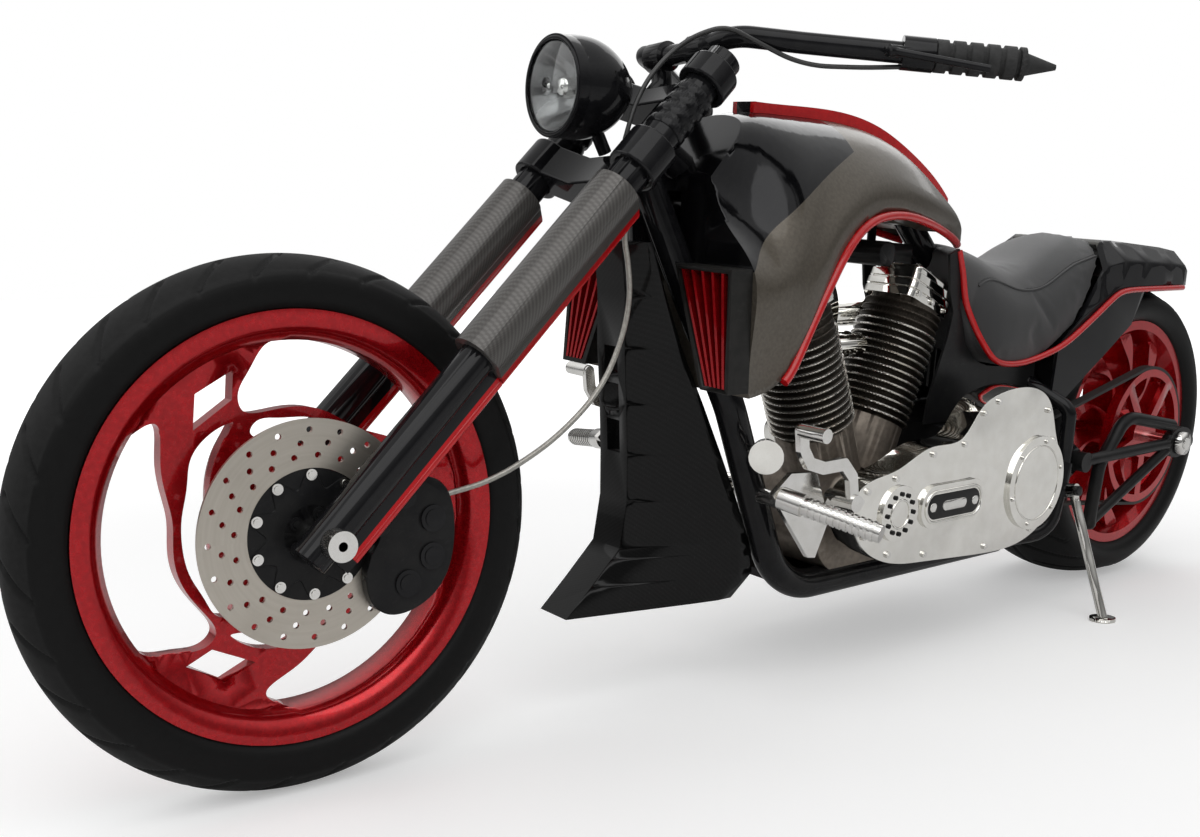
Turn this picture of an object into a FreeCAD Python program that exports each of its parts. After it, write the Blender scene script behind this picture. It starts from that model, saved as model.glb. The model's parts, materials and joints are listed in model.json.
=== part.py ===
import FreeCAD, Part
import math
import os

# Chopper motorcycle with a finned V engine, in millimetres.
# +X runs rearward, +Y to the rider's right and +Z up.
# Every piece is drawn upright and steered straight ahead, with X = 0 at the front axle.
# At the end the steering turns to its parked angle and the whole machine leans on its stand.

# How it is parked
wheelbase = 1920.0
rake_angle = 45.0
parked_steer_angle = -6.6
lean_angle = 5.0

# Turning range of the fork, measured from the parked angle
steer_low = -15.0
steer_high = 28.0

# Front wheel: a 21 inch rim with a slim tyre
front_tyre_radius = 350.7
front_tyre_half_width = 49.0
front_crown_radius = 52.0
front_flange_radius = 281.0
front_bead_radius = 267.0
front_rim_half_width = 42.0
front_rim_depth = 26.0

# Rear wheel: an 18 inch rim with a 250/40 tyre
rear_tyre_radius = 328.6
rear_tyre_half_width = 124.0
rear_crown_radius = 210.0
rear_flange_radius = 243.0
rear_bead_radius = 229.0
rear_rim_half_width = 108.0
rear_rim_depth = 26.0

# Parts that both wheels share
tyre_wall = 11.0
flange_thickness = 5.0
bead_clearance = 0.3
disc_radius = 146.0
disc_thickness = 5.0
disc_band = 62.0
running_clearance = 0.06
seat_gap = 0.3
cut_overrun = 5.0

# Front hub, spokes and axle
front_hub_radius = 42.0
front_hub_half_width = 58.0
front_axle_radius = 12.5
front_axle_bore = 6.0
front_spoke_thickness = 26.0
front_spokes = 3
front_disc_offset = 79.0
disc_carrier_radius = 92.0

# Rear hub, blades and axle
rear_hub_radius = 55.0
rear_hub_half_width = 120.0
rear_axle_radius = 12.5
rear_blades = 10
rear_blade_thickness = 9.0
rear_blade_depth = 70.0
rear_axle_half_length = 246.0
axle_nut_radius = 24.0
axle_nut_length = 14.0

# Fork
fork_half_spacing = 125.0
fork_offset = 55.0
fork_lower_radius = 25.0
fork_lower_length = 305.0
fork_sleeve_radius = 36.5
fork_sleeve_end = 622.0
fork_fin_reach = 50.0
fork_fin_thickness = 9.0
fork_tube_radius = 27.0
fork_foot_length = 34.0
lower_clamp_start = 655.0
lower_clamp_end = 712.0
upper_clamp_start = 829.0
upper_clamp_thickness = 39.0
upper_clamp_end = upper_clamp_start + upper_clamp_thickness
fork_tube_stub = 22.0
fork_tube_end = upper_clamp_end + fork_tube_stub
clamp_wall = 11.0
stem_radius = 14.0
neck_radius = 33.0


def at(x, y, z):
    return FreeCAD.Vector(x, y, z)


def unit(vector):
    return FreeCAD.Vector(vector).normalize()


def face_of(points):
    return Part.Face(Part.makePolygon(points + [points[0]]))


def smooth_face(points):
    curve = Part.BSplineCurve()
    curve.interpolate(points, PeriodicFlag=True)
    return Part.Face(Part.Wire([curve.toShape()]))


def slab_y(outline, low, high):
    return face_of([at(x, low, z) for x, z in outline]).extrude(at(0, high - low, 0))


def smooth_slab_y(outline, low, high):
    return smooth_face([at(x, low, z) for x, z in outline]).extrude(at(0, high - low, 0))


def slab_z(outline, low, high):
    return face_of([at(x, y, low) for x, y in outline]).extrude(at(0, 0, high - low))


def ring_y(centre, low, high, outer, inner=0):
    x, z = centre
    ring = Part.makeCylinder(outer, high - low, at(x, low, z), at(0, 1, 0))
    if inner:
        hole = Part.makeCylinder(inner, high - low + 2 * cut_overrun, at(x, low - cut_overrun, z), at(0, 1, 0))
        ring = ring.cut(hole)
    return ring


def rod(start, end, radius, bore=0):
    start = FreeCAD.Vector(start)
    along = FreeCAD.Vector(end).sub(start)
    solid = Part.makeCylinder(radius, along.Length, start, along)
    if bore:
        solid = solid.cut(Part.makeCylinder(bore, along.Length, start, along))
    return solid


def turned_y(profile, centre):
    x, z = centre
    section = face_of([at(x, y, z + r) for r, y in profile])
    return section.revolve(at(x, 0, z), at(0, 1, 0), 360)


def box(low, high):
    size = FreeCAD.Vector(high).sub(FreeCAD.Vector(low))
    return Part.makeBox(size.x, size.y, size.z, FreeCAD.Vector(low))


def joined(shapes):
    whole = shapes[0].multiFuse(shapes[1:]) if len(shapes) > 1 else shapes[0]
    return whole.removeSplitter()


def mirrored(shape):
    return shape.mirror(at(0, 0, 0), at(0, 1, 0))


def pair(shape):
    return Part.makeCompound([shape, mirrored(shape)])


def bends(points, bend_share=0.45):
    # Radius at each corner of a route whose arcs are as large as its runs allow
    radii = []
    for before, corner, after in zip(points, points[1:], points[2:]):
        half_turn = unit(corner.sub(before)).getAngle(unit(after.sub(corner))) / 2
        room = bend_share * min(corner.sub(before).Length, after.sub(corner).Length)
        radii.append(round(room / math.tan(half_turn)))
    return radii


def route(points, bend_radius=0, bend_share=0.45):
    # Straight runs joined by tangent arcs, as large as the runs allow or as the bend radius asks.
    points = [FreeCAD.Vector(p) for p in points]
    edges = []
    start = points[0]
    for before, corner, after in zip(points, points[1:], points[2:]):
        into = unit(corner.sub(before))
        out = unit(after.sub(corner))
        half_turn = into.getAngle(out) / 2
        room = bend_share * min(corner.sub(before).Length, after.sub(corner).Length)
        setback = min(room, bend_radius * math.tan(half_turn)) if bend_radius else room
        radius = setback / math.tan(half_turn)
        arc_start = corner.sub(into * setback)
        arc_end = corner.add(out * setback)
        inward = unit(out.sub(into))
        arc_middle = corner.add(inward * (radius / math.cos(half_turn) - radius))
        if start.distanceToPoint(arc_start) > seat_gap:
            edges.append(Part.LineSegment(start, arc_start).toShape())
            edges.append(Part.Arc(arc_start, arc_middle, arc_end).toShape())
        else:
            edges.append(Part.Arc(start, arc_middle, arc_end).toShape())
        start = arc_end
    edges.append(Part.LineSegment(start, points[-1]).toShape())
    return Part.Wire(edges)


def bent_tube(points, radius, bend_radius=0):
    path = route(points, bend_radius)
    along = FreeCAD.Vector(points[1]).sub(FreeCAD.Vector(points[0]))
    section = Part.Wire([Part.makeCircle(radius, FreeCAD.Vector(points[0]), along)])
    return path.makePipeShell([section], True, False)


def spread(shares, origin, size):
    return [(origin[0] + u * size[0], origin[1] + v * size[1]) for u, v in shares]


# Directions and places along the fork, measured up from the axle
rake = math.radians(rake_angle)
fork_up = at(math.sin(rake), 0, math.cos(rake))
fork_back = at(math.cos(rake), 0, -math.sin(rake))
front_centre = (0, front_tyre_radius)
rear_centre = (wheelbase, rear_tyre_radius)


def on_fork(distance, side, back=0):
    return at(0, side, front_tyre_radius).add(fork_up * distance).add(fork_back * back)


def polar(centre, radius, angle):
    turn = math.radians(angle)
    return (centre[0] + radius * math.cos(turn), centre[1] + radius * math.sin(turn))


# Wheels


def tyre(centre, radius, half_width, crown_radius, flange_radius, bead_radius, rim_half_width):
    # Bands round the crown and down each wall, two beads that sit on the rim, and a hollow carcass.
    outer = []
    for share in tread_band_shares:
        y = half_width * tread_share * share
        outer.append((radius - crown_radius + math.sqrt(crown_radius ** 2 - y ** 2), y))
    shoulder = outer[-1][0]
    lip = flange_radius + bead_clearance
    for drop, side in wall_shares:
        outer.append((shoulder - (shoulder - lip) * drop, half_width * side))
    inner_side = rim_half_width - flange_thickness - bead_clearance
    seat = bead_radius + bead_clearance
    outer += [(lip, inner_side), (seat, inner_side - tyre_wall)]
    carcass = [(shoulder - tyre_wall, half_width * tread_share - tyre_wall)]
    half = outer[1:] + carcass
    profile = [outer[0]] + half + [(r, -y) for r, y in reversed(half)]
    return turned_y(profile, centre)


tread_band_shares = [0.0, 0.6, 1.0]
wall_shares = [(0.5, 1.0)]
tread_share = 0.84


def rim_barrel(centre, half_width, flange_radius, bead_radius, depth):
    # Two flanges, two bead seats and a drop centre.
    seat_width = tyre_wall + flange_thickness
    well = bead_radius - depth * 0.5
    lining = bead_radius - depth
    half = [(flange_radius, half_width), (flange_radius, half_width - flange_thickness),
            (bead_radius, half_width - flange_thickness), (bead_radius, half_width - seat_width - flange_thickness),
            (well, half_width * well_share)]
    under = [(lining, half_width * lining_share), (bead_radius - flange_thickness, half_width)]
    profile = half + [(r, -y) for r, y in reversed(half)]
    profile += [(r, -y) for r, y in reversed(under)] + under
    return turned_y(profile, centre)


well_share = 0.3
lining_share = 0.55


def front_rim():
    # Three broad spokes cut from one plate: wide openings, a lozenge in each spoke and a slim inner ring.
    barrel = rim_barrel(front_centre, front_rim_half_width, front_flange_radius, front_bead_radius, front_rim_depth)
    half = front_spoke_thickness / 2
    reach = front_bead_radius - front_rim_depth * 0.6
    plate = ring_y(front_centre, -half, half, reach, front_axle_radius + running_clearance)
    openings = []
    for spoke in range(front_spokes):
        turn = front_spoke_angle + spoke * 360.0 / front_spokes
        for shares in (window_shares, lozenge_shares, crescent_shares):
            outline = [polar(front_centre, reach * r, turn + a * 360.0 / front_spokes) for r, a in shares]
            cutter = slab_y if shares is lozenge_shares else smooth_slab_y
            openings.append(cutter(outline, -half - cut_overrun, half + cut_overrun))
    plate = plate.cut(Part.makeCompound(openings))
    hub = ring_y(front_centre, -front_hub_half_width, front_hub_half_width, front_hub_radius,
                 front_axle_radius + running_clearance)
    return joined([barrel, plate, hub])


# Radius and angle of each opening, as shares of the plate's reach and of one spoke's third of a turn
front_spoke_angle = 0.0
window_shares = [
    (0.934, 1.203), (0.865, 1.164), (0.797, 1.206), (0.740, 1.267), (0.663, 1.350), (0.613, 1.433), (0.613, 1.562),
    (0.619, 1.652), (0.614, 1.750), (0.613, 1.861), (0.655, 1.927), (0.729, 1.924), (0.834, 1.865), (0.948, 1.800),
    (0.963, 1.732), (0.976, 1.624), (0.975, 1.539), (0.977, 1.427), (0.973, 1.326), (0.966, 1.243)]
lozenge_shares = [(0.851, 1.033), (0.863, 0.908), (0.728, 0.946), (0.720, 1.108)]
crescent_shares = [
    (0.628, 0.983), (0.648, 1.083), (0.636, 1.192), (0.585, 1.292), (0.569, 1.417), (0.565, 1.533), (0.565, 1.667),
    (0.565, 1.800), (0.573, 1.900), (0.541, 1.933), (0.469, 1.875), (0.430, 1.708), (0.418, 1.500), (0.446, 1.333),
    (0.497, 1.208), (0.549, 1.100), (0.597, 1.008)]


def front_disc_carrier():
    # Arms that run from the hub to the disc's bobbins.
    offset = front_disc_offset
    low = -offset - disc_thickness
    hub_face = -front_hub_half_width
    boss = ring_y(front_centre, low, hub_face - bead_clearance, front_hub_radius * 0.9,
                  front_axle_radius + running_clearance)
    inner = disc_radius - disc_band
    arms = []
    for arm in range(carrier_arms):
        turn = arm * 360.0 / carrier_arms
        outline = [polar(front_centre, inner * r, turn + a) for r, a in carrier_arm_shares]
        arms.append(slab_y(outline, -offset - disc_thickness / 2, -offset + disc_thickness / 2))
    ring = ring_y(front_centre, -offset - disc_thickness / 2, -offset + disc_thickness / 2,
                  inner - bead_clearance, inner * 0.8)
    return joined([boss, ring] + arms)


carrier_arms = 10
carrier_arm_shares = [(0.3, -14.0), (0.85, -6.0), (0.85, 6.0), (0.3, 14.0)]


def brake_disc(centre, offset):
    # A ring with three rows of holes, each row turned a little from the last.
    ring = ring_y(centre, offset - disc_thickness / 2, offset + disc_thickness / 2, disc_radius,
                  disc_radius - disc_band)
    holes = []
    for row, share in enumerate(disc_row_shares):
        for hole in range(disc_holes):
            turn = (hole + row / len(disc_row_shares)) * 360.0 / disc_holes
            spot = polar(centre, disc_radius - disc_band * share, turn)
            holes.append(ring_y(spot, offset - disc_thickness, offset + disc_thickness, disc_hole_radius))
    return ring.cut(Part.makeCompound(holes))


disc_row_shares = [0.22, 0.48, 0.74]
disc_holes = 20
disc_hole_radius = 4.0


def rear_rim():
    # A wide barrel on swept blades.
    barrel = rim_barrel(rear_centre, rear_rim_half_width, rear_flange_radius, rear_bead_radius, rear_rim_depth)
    bore = rear_axle_radius + running_clearance
    hub = ring_y(rear_centre, -rear_hub_half_width, rear_hub_half_width, rear_hub_radius, bore)
    reach = rear_bead_radius - rear_rim_depth * 0.6
    blades = []
    for blade in range(rear_blades):
        turn = blade * 360.0 / rear_blades
        outline = [polar(rear_centre, reach * r, turn + a) for r, a in blade_shares]
        low = -rear_rim_half_width * blade_side_share
        blades.append(smooth_slab_y(outline, low, low + rear_blade_depth))
    spider = blades[0].multiFuse(blades[1:]).common(ring_y(rear_centre, -rear_rim_half_width, rear_rim_half_width,
                                                           reach, rear_hub_radius * 0.8))
    carrier = ring_y(rear_centre, rear_hub_half_width - cover_step, rear_disc_offset + disc_thickness / 2,
                     rear_hub_radius, bore)
    flange = ring_y(rear_centre, rear_disc_offset - disc_thickness / 2, rear_disc_offset + disc_thickness / 2,
                    disc_radius - disc_band - seat_gap, bore)
    return joined([barrel, hub, spider, carrier, flange])


blade_side_share = 0.85
blade_shares = [(0.20, 0.0), (0.45, 2.0), (0.72, 9.0), (1.03, 22.0), (1.03, 27.0), (0.72, 15.0), (0.45, 9.0),
                (0.20, 12.0)]

# Final drive
belt_low = -151.0
belt_high = -131.0
belt_thickness = 6.0
rear_pulley_radius = 144.0
drive_pulley_radius = 56.0
drive_pulley_x = 1400.0
drive_pulley_z = 300.0
pulley_rim = 16.0
pulley_arms = 5
pulley_arm_width = 22.0
drive_centre = (drive_pulley_x, drive_pulley_z)


def rear_pulley():
    bore = rear_axle_radius + running_clearance
    rim = ring_y(rear_centre, belt_low, belt_high, rear_pulley_radius, rear_pulley_radius - pulley_rim)
    boss = ring_y(rear_centre, belt_low, -rear_hub_half_width - bead_clearance, rear_hub_radius * 0.85, bore)
    arms = []
    x, z = rear_centre
    for arm in range(pulley_arms):
        turn = arm * 360.0 / pulley_arms + 18.0
        bar = box(at(x, belt_low, z - pulley_arm_width / 2),
                  at(x + rear_pulley_radius - pulley_rim / 2, belt_high - pulley_rim / 2, z + pulley_arm_width / 2))
        bar.rotate(at(x, 0, z), at(0, 1, 0), turn)
        arms.append(bar.cut(ring_y(rear_centre, belt_low - cut_overrun, belt_high, bore)))
    return joined([rim, boss] + arms)


def drive_belt():
    # A closed loop round both pulleys.
    span = math.hypot(rear_centre[0] - drive_centre[0], rear_centre[1] - drive_centre[1])
    slope = math.atan2(rear_centre[1] - drive_centre[1], rear_centre[0] - drive_centre[0])

    def loop(grow):
        big = rear_pulley_radius + seat_gap + grow
        small = drive_pulley_radius + seat_gap + grow
        lead = math.acos((big - small) / span)
        edges = []
        spots = []
        for centre, radius, far in ((rear_centre, big, 0), (drive_centre, small, math.pi)):
            for angle in (slope + math.pi - lead, slope + far, slope - math.pi + lead):
                spots.append(at(centre[0] + radius * math.cos(angle), belt_low,
                                centre[1] + radius * math.sin(angle)))
        edges.append(Part.Arc(spots[0], spots[1], spots[2]).toShape())
        edges.append(Part.LineSegment(spots[2], spots[5]).toShape())
        edges.append(Part.Arc(spots[5], spots[4], spots[3]).toShape())
        edges.append(Part.LineSegment(spots[3], spots[0]).toShape())
        return Part.Face(Part.Wire(edges)).extrude(at(0, belt_high - belt_low, 0))

    return loop(belt_thickness).cut(loop(0))


# Fork, clamps and steering


def fork_lowers():
    legs = []
    for side in (-fork_half_spacing, fork_half_spacing):
        leg = rod(on_fork(-fork_foot_length, side), on_fork(fork_lower_length, side), fork_lower_radius)
        fin = slab_fin(side, -fork_foot_length * 0.4, fork_lower_length)
        bore = rod(at(0, side - fork_sleeve_radius, front_tyre_radius),
                   at(0, side + fork_sleeve_radius, front_tyre_radius), front_axle_radius + running_clearance)
        legs.append(leg.fuse(fin).cut(bore).removeSplitter())
    return Part.makeCompound(legs)


def slab_fin(side, start, end):
    half = fork_fin_thickness / 2
    corners = [on_fork(start, side - half), on_fork(start, side + half),
               on_fork(start, side + half, fork_fin_reach), on_fork(start, side - half, fork_fin_reach)]
    return face_of(corners).extrude(fork_up * (end - start))


def fork_sleeves():
    # Round in front and drawn out to a thin trailing edge.
    sleeves = []
    start = fork_lower_length + seat_gap
    for side in (-fork_half_spacing, fork_half_spacing):
        tube = rod(on_fork(start, side), on_fork(fork_sleeve_end, side), fork_sleeve_radius)
        tail = slab_fin(side, start, fork_sleeve_end)
        wedge_half = fork_sleeve_radius * 0.87
        wedge = face_of([on_fork(start, side - wedge_half, fork_sleeve_radius * 0.5),
                         on_fork(start, side + wedge_half, fork_sleeve_radius * 0.5),
                         on_fork(start, side + fork_fin_thickness / 2, fork_fin_reach),
                         on_fork(start, side - fork_fin_thickness / 2, fork_fin_reach)])
        wedge = wedge.extrude(fork_up * (fork_sleeve_end - start))
        sleeve = tube.multiFuse([tail, wedge]).removeSplitter()
        sleeves.append(sleeve)
    return Part.makeCompound(sleeves)


def fork_tubes():
    tubes = []
    for side in (-fork_half_spacing, fork_half_spacing):
        start = fork_sleeve_end + seat_gap
        tube = rod(on_fork(start, side), on_fork(fork_tube_end, side), fork_tube_radius)
        for ring in range(fork_rings):
            place = lower_clamp_end + fork_ring_pitch * (ring + 1)
            tube = tube.fuse(rod(on_fork(place, side), on_fork(place + fork_ring_pitch * 0.5, side),
                                 fork_tube_radius + fork_ring_height))
        tubes.append(tube.removeSplitter())
    return Part.makeCompound(tubes)


fork_rings = 4
fork_ring_pitch = 22.0
fork_ring_height = 3.0


def clamp(start, end):
    # A yoke round both tubes with a waist between them.
    outer = fork_tube_radius + clamp_wall
    solids = []
    for side in (-fork_half_spacing, fork_half_spacing):
        solids.append(rod(on_fork(start, side), on_fork(end, side), outer))
    solids.append(rod(on_fork(start, 0, fork_offset), on_fork(end, 0, fork_offset), neck_radius))
    corners = []
    for side, back in yoke_shares:
        corners.append(on_fork(start, side * fork_half_spacing, back * outer + fork_offset * abs(abs(side) - 1)))
    solids.append(face_of(corners).extrude(fork_up * (end - start)))
    yoke = joined(solids)
    for side in (-fork_half_spacing, fork_half_spacing):
        yoke = yoke.cut(rod(on_fork(start - cut_overrun, side), on_fork(end + cut_overrun, side),
                            fork_tube_radius + seat_gap))
    return yoke


yoke_shares = [(-1.0, -0.9), (-0.35, -0.7), (0.35, -0.7), (1.0, -0.9), (1.0, 0.6), (0.3, 0.8), (-0.3, 0.8),
               (-1.0, 0.6)]


def lower_clamp():
    stem = rod(on_fork(lower_clamp_start, 0, fork_offset), on_fork(upper_clamp_start - seat_gap, 0, fork_offset),
               stem_radius)
    return clamp(lower_clamp_start, lower_clamp_end).fuse(stem).removeSplitter()


# Handlebar: places are measured back, sideways and up from the bar's middle over the risers
bar_radius = 16.0
bar_bend = 60.0
riser_spacing = 50.0
riser_radius = 19.0
riser_setback = 17.0
riser_height = 62.0
grip_radius = 20.0
spike_length = 46.0
spike_radius = 17.0
bar_shoulder = (9.0, 110.0, 13.6)
bar_mid = (93.0, 168.0, 2.6)
bar_end = (336.0, 363.0, -30.4)
grip_start_share = 0.61


def bar_point(offset):
    back, side, up = offset
    foot = on_fork(upper_clamp_end, side, fork_offset * 0.5)
    return foot.add(at(riser_setback + back, 0, riser_height + up))


def bar_place(share):
    return bar_point(bar_mid).add((bar_point(bar_end).sub(bar_point(bar_mid))) * share)


def bar_tube(grow=0):
    right = [bar_point((0, riser_spacing, 0)), bar_point(bar_shoulder), bar_point(bar_mid), bar_point(bar_end)]
    points = [at(p.x, -p.y, p.z) for p in reversed(right)] + right
    return bent_tube(points, bar_radius + grow, bar_bend)


def handlebar():
    risers = [bar_tube()]
    for side in (-riser_spacing, riser_spacing):
        foot = on_fork(upper_clamp_end + seat_gap, side, fork_offset * 0.5)
        knee = on_fork(upper_clamp_end + riser_radius * 1.4, side, fork_offset * 0.5)
        top = bar_point((0, side, 0))
        risers.append(rod(foot, knee, riser_radius * 0.85))
        risers.append(Part.makeSphere(riser_radius * 0.86, knee))
        risers.append(rod(knee, top, riser_radius * 0.85))
        risers.append(rod(at(top.x, side - riser_radius, top.z), at(top.x, side + riser_radius, top.z),
                          riser_radius + clamp_wall * 0.4))
    return joined(risers)


def grips():
    shapes = []
    start = bar_place(grip_start_share)
    end = bar_point(bar_end)
    along = unit(end.sub(start))
    length = end.sub(start).Length
    sleeve = rod(start, end, grip_radius, bar_radius + seat_gap)
    bands = []
    for band in range(grip_bands):
        place = start.add(along * (length * (band + 0.1) / grip_bands))
        bands.append(rod(place, place.add(along * (length * 0.66 / grip_bands)), grip_radius + grip_band_height,
                         bar_radius + seat_gap))
    cap = rod(end.add(along * seat_gap), end.add(along * (grip_band_height * 2)), grip_radius + grip_band_height)
    tip = Part.makeCone(spike_radius, grip_band_height, spike_length, end.add(along * (grip_band_height * 2)), along)
    grip = joined([sleeve] + bands)
    end_cap = cap.fuse(tip).removeSplitter()
    whole = grip.fuse(end_cap).removeSplitter()
    return pair(whole)


grip_bands = 5
grip_band_height = 4.0


def hand_controls():
    start = bar_place(grip_start_share)
    along = unit(bar_point(bar_mid).sub(start))
    place = start.add(along * seat_gap)
    body = rod(place, place.add(along * control_length), control_radius, bar_radius + seat_gap)
    forward = at(-1, 0, 0)
    lever_root = place.add(along * (control_length * 0.5)).add(forward * control_radius * 0.8)
    knuckle = rod(lever_root, lever_root.add(forward * lever_reach), lever_radius * 1.6)
    lever_end = bar_point(bar_end).add(at(-lever_reach - control_radius * 0.8, 0, -lever_drop))
    lever = rod(lever_root.add(forward * lever_reach * 0.8), lever_end, lever_radius)
    return pair(joined([body, knuckle, lever]).cut(bar_tube(seat_gap)))


control_length = 46.0
control_radius = 25.0
lever_reach = 42.0
lever_radius = 5.5
lever_drop = 12.0

# Headlight
headlight_x = 431.0
headlight_z = 941.0
headlight_radius = 74.0
headlight_rim_radius = 69.0
headlight_length = 118.0
headlight_rim_length = 16.0
headlight_wall = 4.0
lens_bulge = 12.0


def headlight_profile(shares, start, length):
    points = [at(start + u * length, 0, headlight_z + v * headlight_radius) for u, v in shares]
    curve = Part.BSplineCurve()
    curve.interpolate(points)
    return points, curve


def headlight_shell():
    # A bullet shell, open in front, on a stalk down to the lower yoke.
    front = headlight_x - headlight_rim_length
    points, curve = headlight_profile(shell_shares, headlight_x, headlight_length)
    edges = [curve.toShape(),
             Part.LineSegment(points[-1], at(points[-1].x, 0, headlight_z)).toShape(),
             Part.LineSegment(at(points[-1].x, 0, headlight_z), at(points[0].x, 0, headlight_z)).toShape(),
             Part.LineSegment(at(points[0].x, 0, headlight_z), points[0]).toShape()]
    shell = Part.Face(Part.Wire(edges)).revolve(at(headlight_x, 0, headlight_z), at(1, 0, 0), 360)
    cavity = Part.makeCylinder(headlight_rim_radius - headlight_wall, headlight_length * 0.4,
                               at(headlight_x - cut_overrun, 0, headlight_z), at(1, 0, 0))
    rim = Part.makeCylinder(headlight_rim_radius + headlight_wall, headlight_rim_length,
                            at(front, 0, headlight_z), at(1, 0, 0))
    hole = Part.makeCylinder(headlight_rim_radius - headlight_wall, headlight_rim_length + 2 * cut_overrun,
                             at(front - cut_overrun, 0, headlight_z), at(1, 0, 0))
    stalk_top = at(headlight_x + headlight_length * 0.45, 0, headlight_z - headlight_radius * 0.6)
    stalk_foot = on_fork(lower_clamp_end + seat_gap, 0, headlight_stalk_radius * 0.6)
    stalk = rod(stalk_foot, stalk_top, headlight_stalk_radius)
    shell = shell.cut(cavity).multiFuse([rim.cut(hole), stalk])
    inside = Part.makeCylinder(headlight_rim_radius - headlight_wall, headlight_length * 0.4,
                               at(headlight_x - cut_overrun, 0, headlight_z), at(1, 0, 0))
    return shell.cut(inside).removeSplitter()


shell_shares = [(0.0, 0.97), (0.15, 1.0), (0.35, 0.98), (0.6, 0.82), (0.85, 0.48), (1.0, 0.18)]
headlight_stalk_radius = 10.0


def headlight_lens():
    radius = headlight_rim_radius - headlight_wall - seat_gap
    front = headlight_x - headlight_rim_length
    back = at(headlight_x, 0, headlight_z)
    rim = at(front, 0, headlight_z + radius)
    tip = at(front - lens_bulge, 0, headlight_z)
    dome_radius = (radius ** 2 + lens_bulge ** 2) / (2 * lens_bulge)
    angle = math.asin(radius / dome_radius) / 2
    middle = at(front - lens_bulge + dome_radius * (1 - math.cos(angle)), 0, headlight_z + dome_radius * math.sin(angle))
    edges = [Part.LineSegment(back, at(headlight_x, 0, headlight_z + radius)).toShape(),
             Part.LineSegment(at(headlight_x, 0, headlight_z + radius), rim).toShape(),
             Part.Arc(rim, middle, tip).toShape(), Part.LineSegment(tip, back).toShape()]
    return Part.Face(Part.Wire(edges)).revolve(back, at(1, 0, 0), 360)


def front_axle():
    reach = fork_half_spacing + fork_sleeve_radius
    x, z = front_centre
    axle = rod(at(x, -reach, z), at(x, reach, z), front_axle_radius)
    nuts = [rod(at(x, side * (fork_half_spacing + fork_lower_radius + seat_gap), z),
                at(x, side * (reach + axle_nut_length), z), axle_nut_radius * 0.8) for side in (-1, 1)]
    bore = rod(at(x, -reach - 2 * axle_nut_length, z), at(x, reach + 2 * axle_nut_length, z), front_axle_bore)
    return joined([axle] + nuts).cut(bore)


def front_caliper():
    # A long finned body behind the leg that straddles the disc.
    outline = [polar(front_centre, disc_radius * r, caliper_angle + a) for r, a in caliper_shares]
    side = front_disc_offset
    outer = smooth_slab_y(outline, -side - caliper_half_width, -side + caliper_half_width)
    slot = ring_y(front_centre, -side - disc_thickness / 2 - caliper_gap, -side + disc_thickness / 2 + caliper_gap,
                  disc_radius + caliper_gap)
    body = outer.cut(slot)
    lug_spot = on_fork(caliper_lug_distance, 0, fork_lower_radius + caliper_half_width)
    lug = rod(at(lug_spot.x, -fork_half_spacing + fork_fin_thickness / 2 + seat_gap, lug_spot.z),
              at(lug_spot.x, -side - caliper_half_width / 2, lug_spot.z), caliper_half_width * 0.7)
    return body.fuse(lug).removeSplitter()


caliper_angle = -10.0
caliper_half_width = 22.0
caliper_gap = 2.0
caliper_lug_distance = 60.0
caliper_shares = [(0.62, -34.0), (1.02, -40.0), (1.28, -20.0), (1.32, 4.0), (1.22, 28.0), (0.95, 36.0), (0.66, 28.0),
                  (0.58, 0.0)]

# Hose and cable that turn with the fork; places are (distance up the fork, side, back)
hose_radius = 4.0
hose_places = [
    (128, -90, 88), (166, -90, 116), (206, -91, 144), (258, -92, 167), (330, -91, 189), (418, -90, 197), (489, -92, 176),
    (544, -96, 141), (576, -101, 99), (596, -105, 62), (630, -107, 43), (660, -108, 30)]
cable_radius = 3.5
cable_places = [
    (925, -128, -34), (888, -100, -50), (842, -88, -56), (794, -84, -54), (750, -82, -42), (705, -82, -20)]
cable_share = 0.30


def cord_tube(name, points, radius):
    tube = bent_tube(points, radius)
    print(name, "bend radii", bends(points), "length", round(tube.Volume / (math.pi * radius ** 2)))
    return tube


def brake_hose():
    # From the caliper in a wide bow behind the leg and up to the lower clamp
    tube = cord_tube("brake_hose", [on_fork(*p) for p in hose_places], hose_radius)
    return tube.cut(front_caliper()).cut(lower_clamp())


def handlebar_cables():
    # From the left hand control under the bar, then down in front of the clamps
    along = unit(bar_point(bar_mid).sub(bar_place(grip_start_share)))
    below = at(0, 0, -(bar_radius + cable_radius + seat_gap * 3))
    start = bar_place(grip_start_share).add(along * (control_length - seat_gap)).add(below)
    middle = bar_place(cable_share).add(below * 1.3)
    bend = bar_point(bar_mid).add(below * 1.6)
    points = [at(p.x, -p.y, p.z) for p in (start, middle, bend)] + [on_fork(*p) for p in cable_places]
    return cord_tube("handlebar_cables", points, cable_radius).cut(lower_clamp()).cut(hand_controls())


# Fuel tank
tank_front = 640.0
tank_length = 700.0
tank_low = 500.0
tank_depth = 421.0
tank_half_width = 195.0
tank_wall = 14.0
tank_floor_share = 0.589
tank_swing_gap = 118.0
tank_floor = tank_low + tank_depth * tank_floor_share

# Frame; the backbone runs inside the tank
backbone_start_share = 0.114
backbone_end_share = 0.794
backbone_height_share = 0.7126
backbone_mid_x = tank_front + tank_length * backbone_start_share
backbone_end_x = tank_front + tank_length * backbone_end_share
backbone_z = tank_low + tank_depth * backbone_height_share
tube_radius = 25.0
rail_y = 108.0
rail_z = 154.0
frame_wall = 6.0
backbone_radius = 24.0
stay_radius = 14.0


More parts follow.
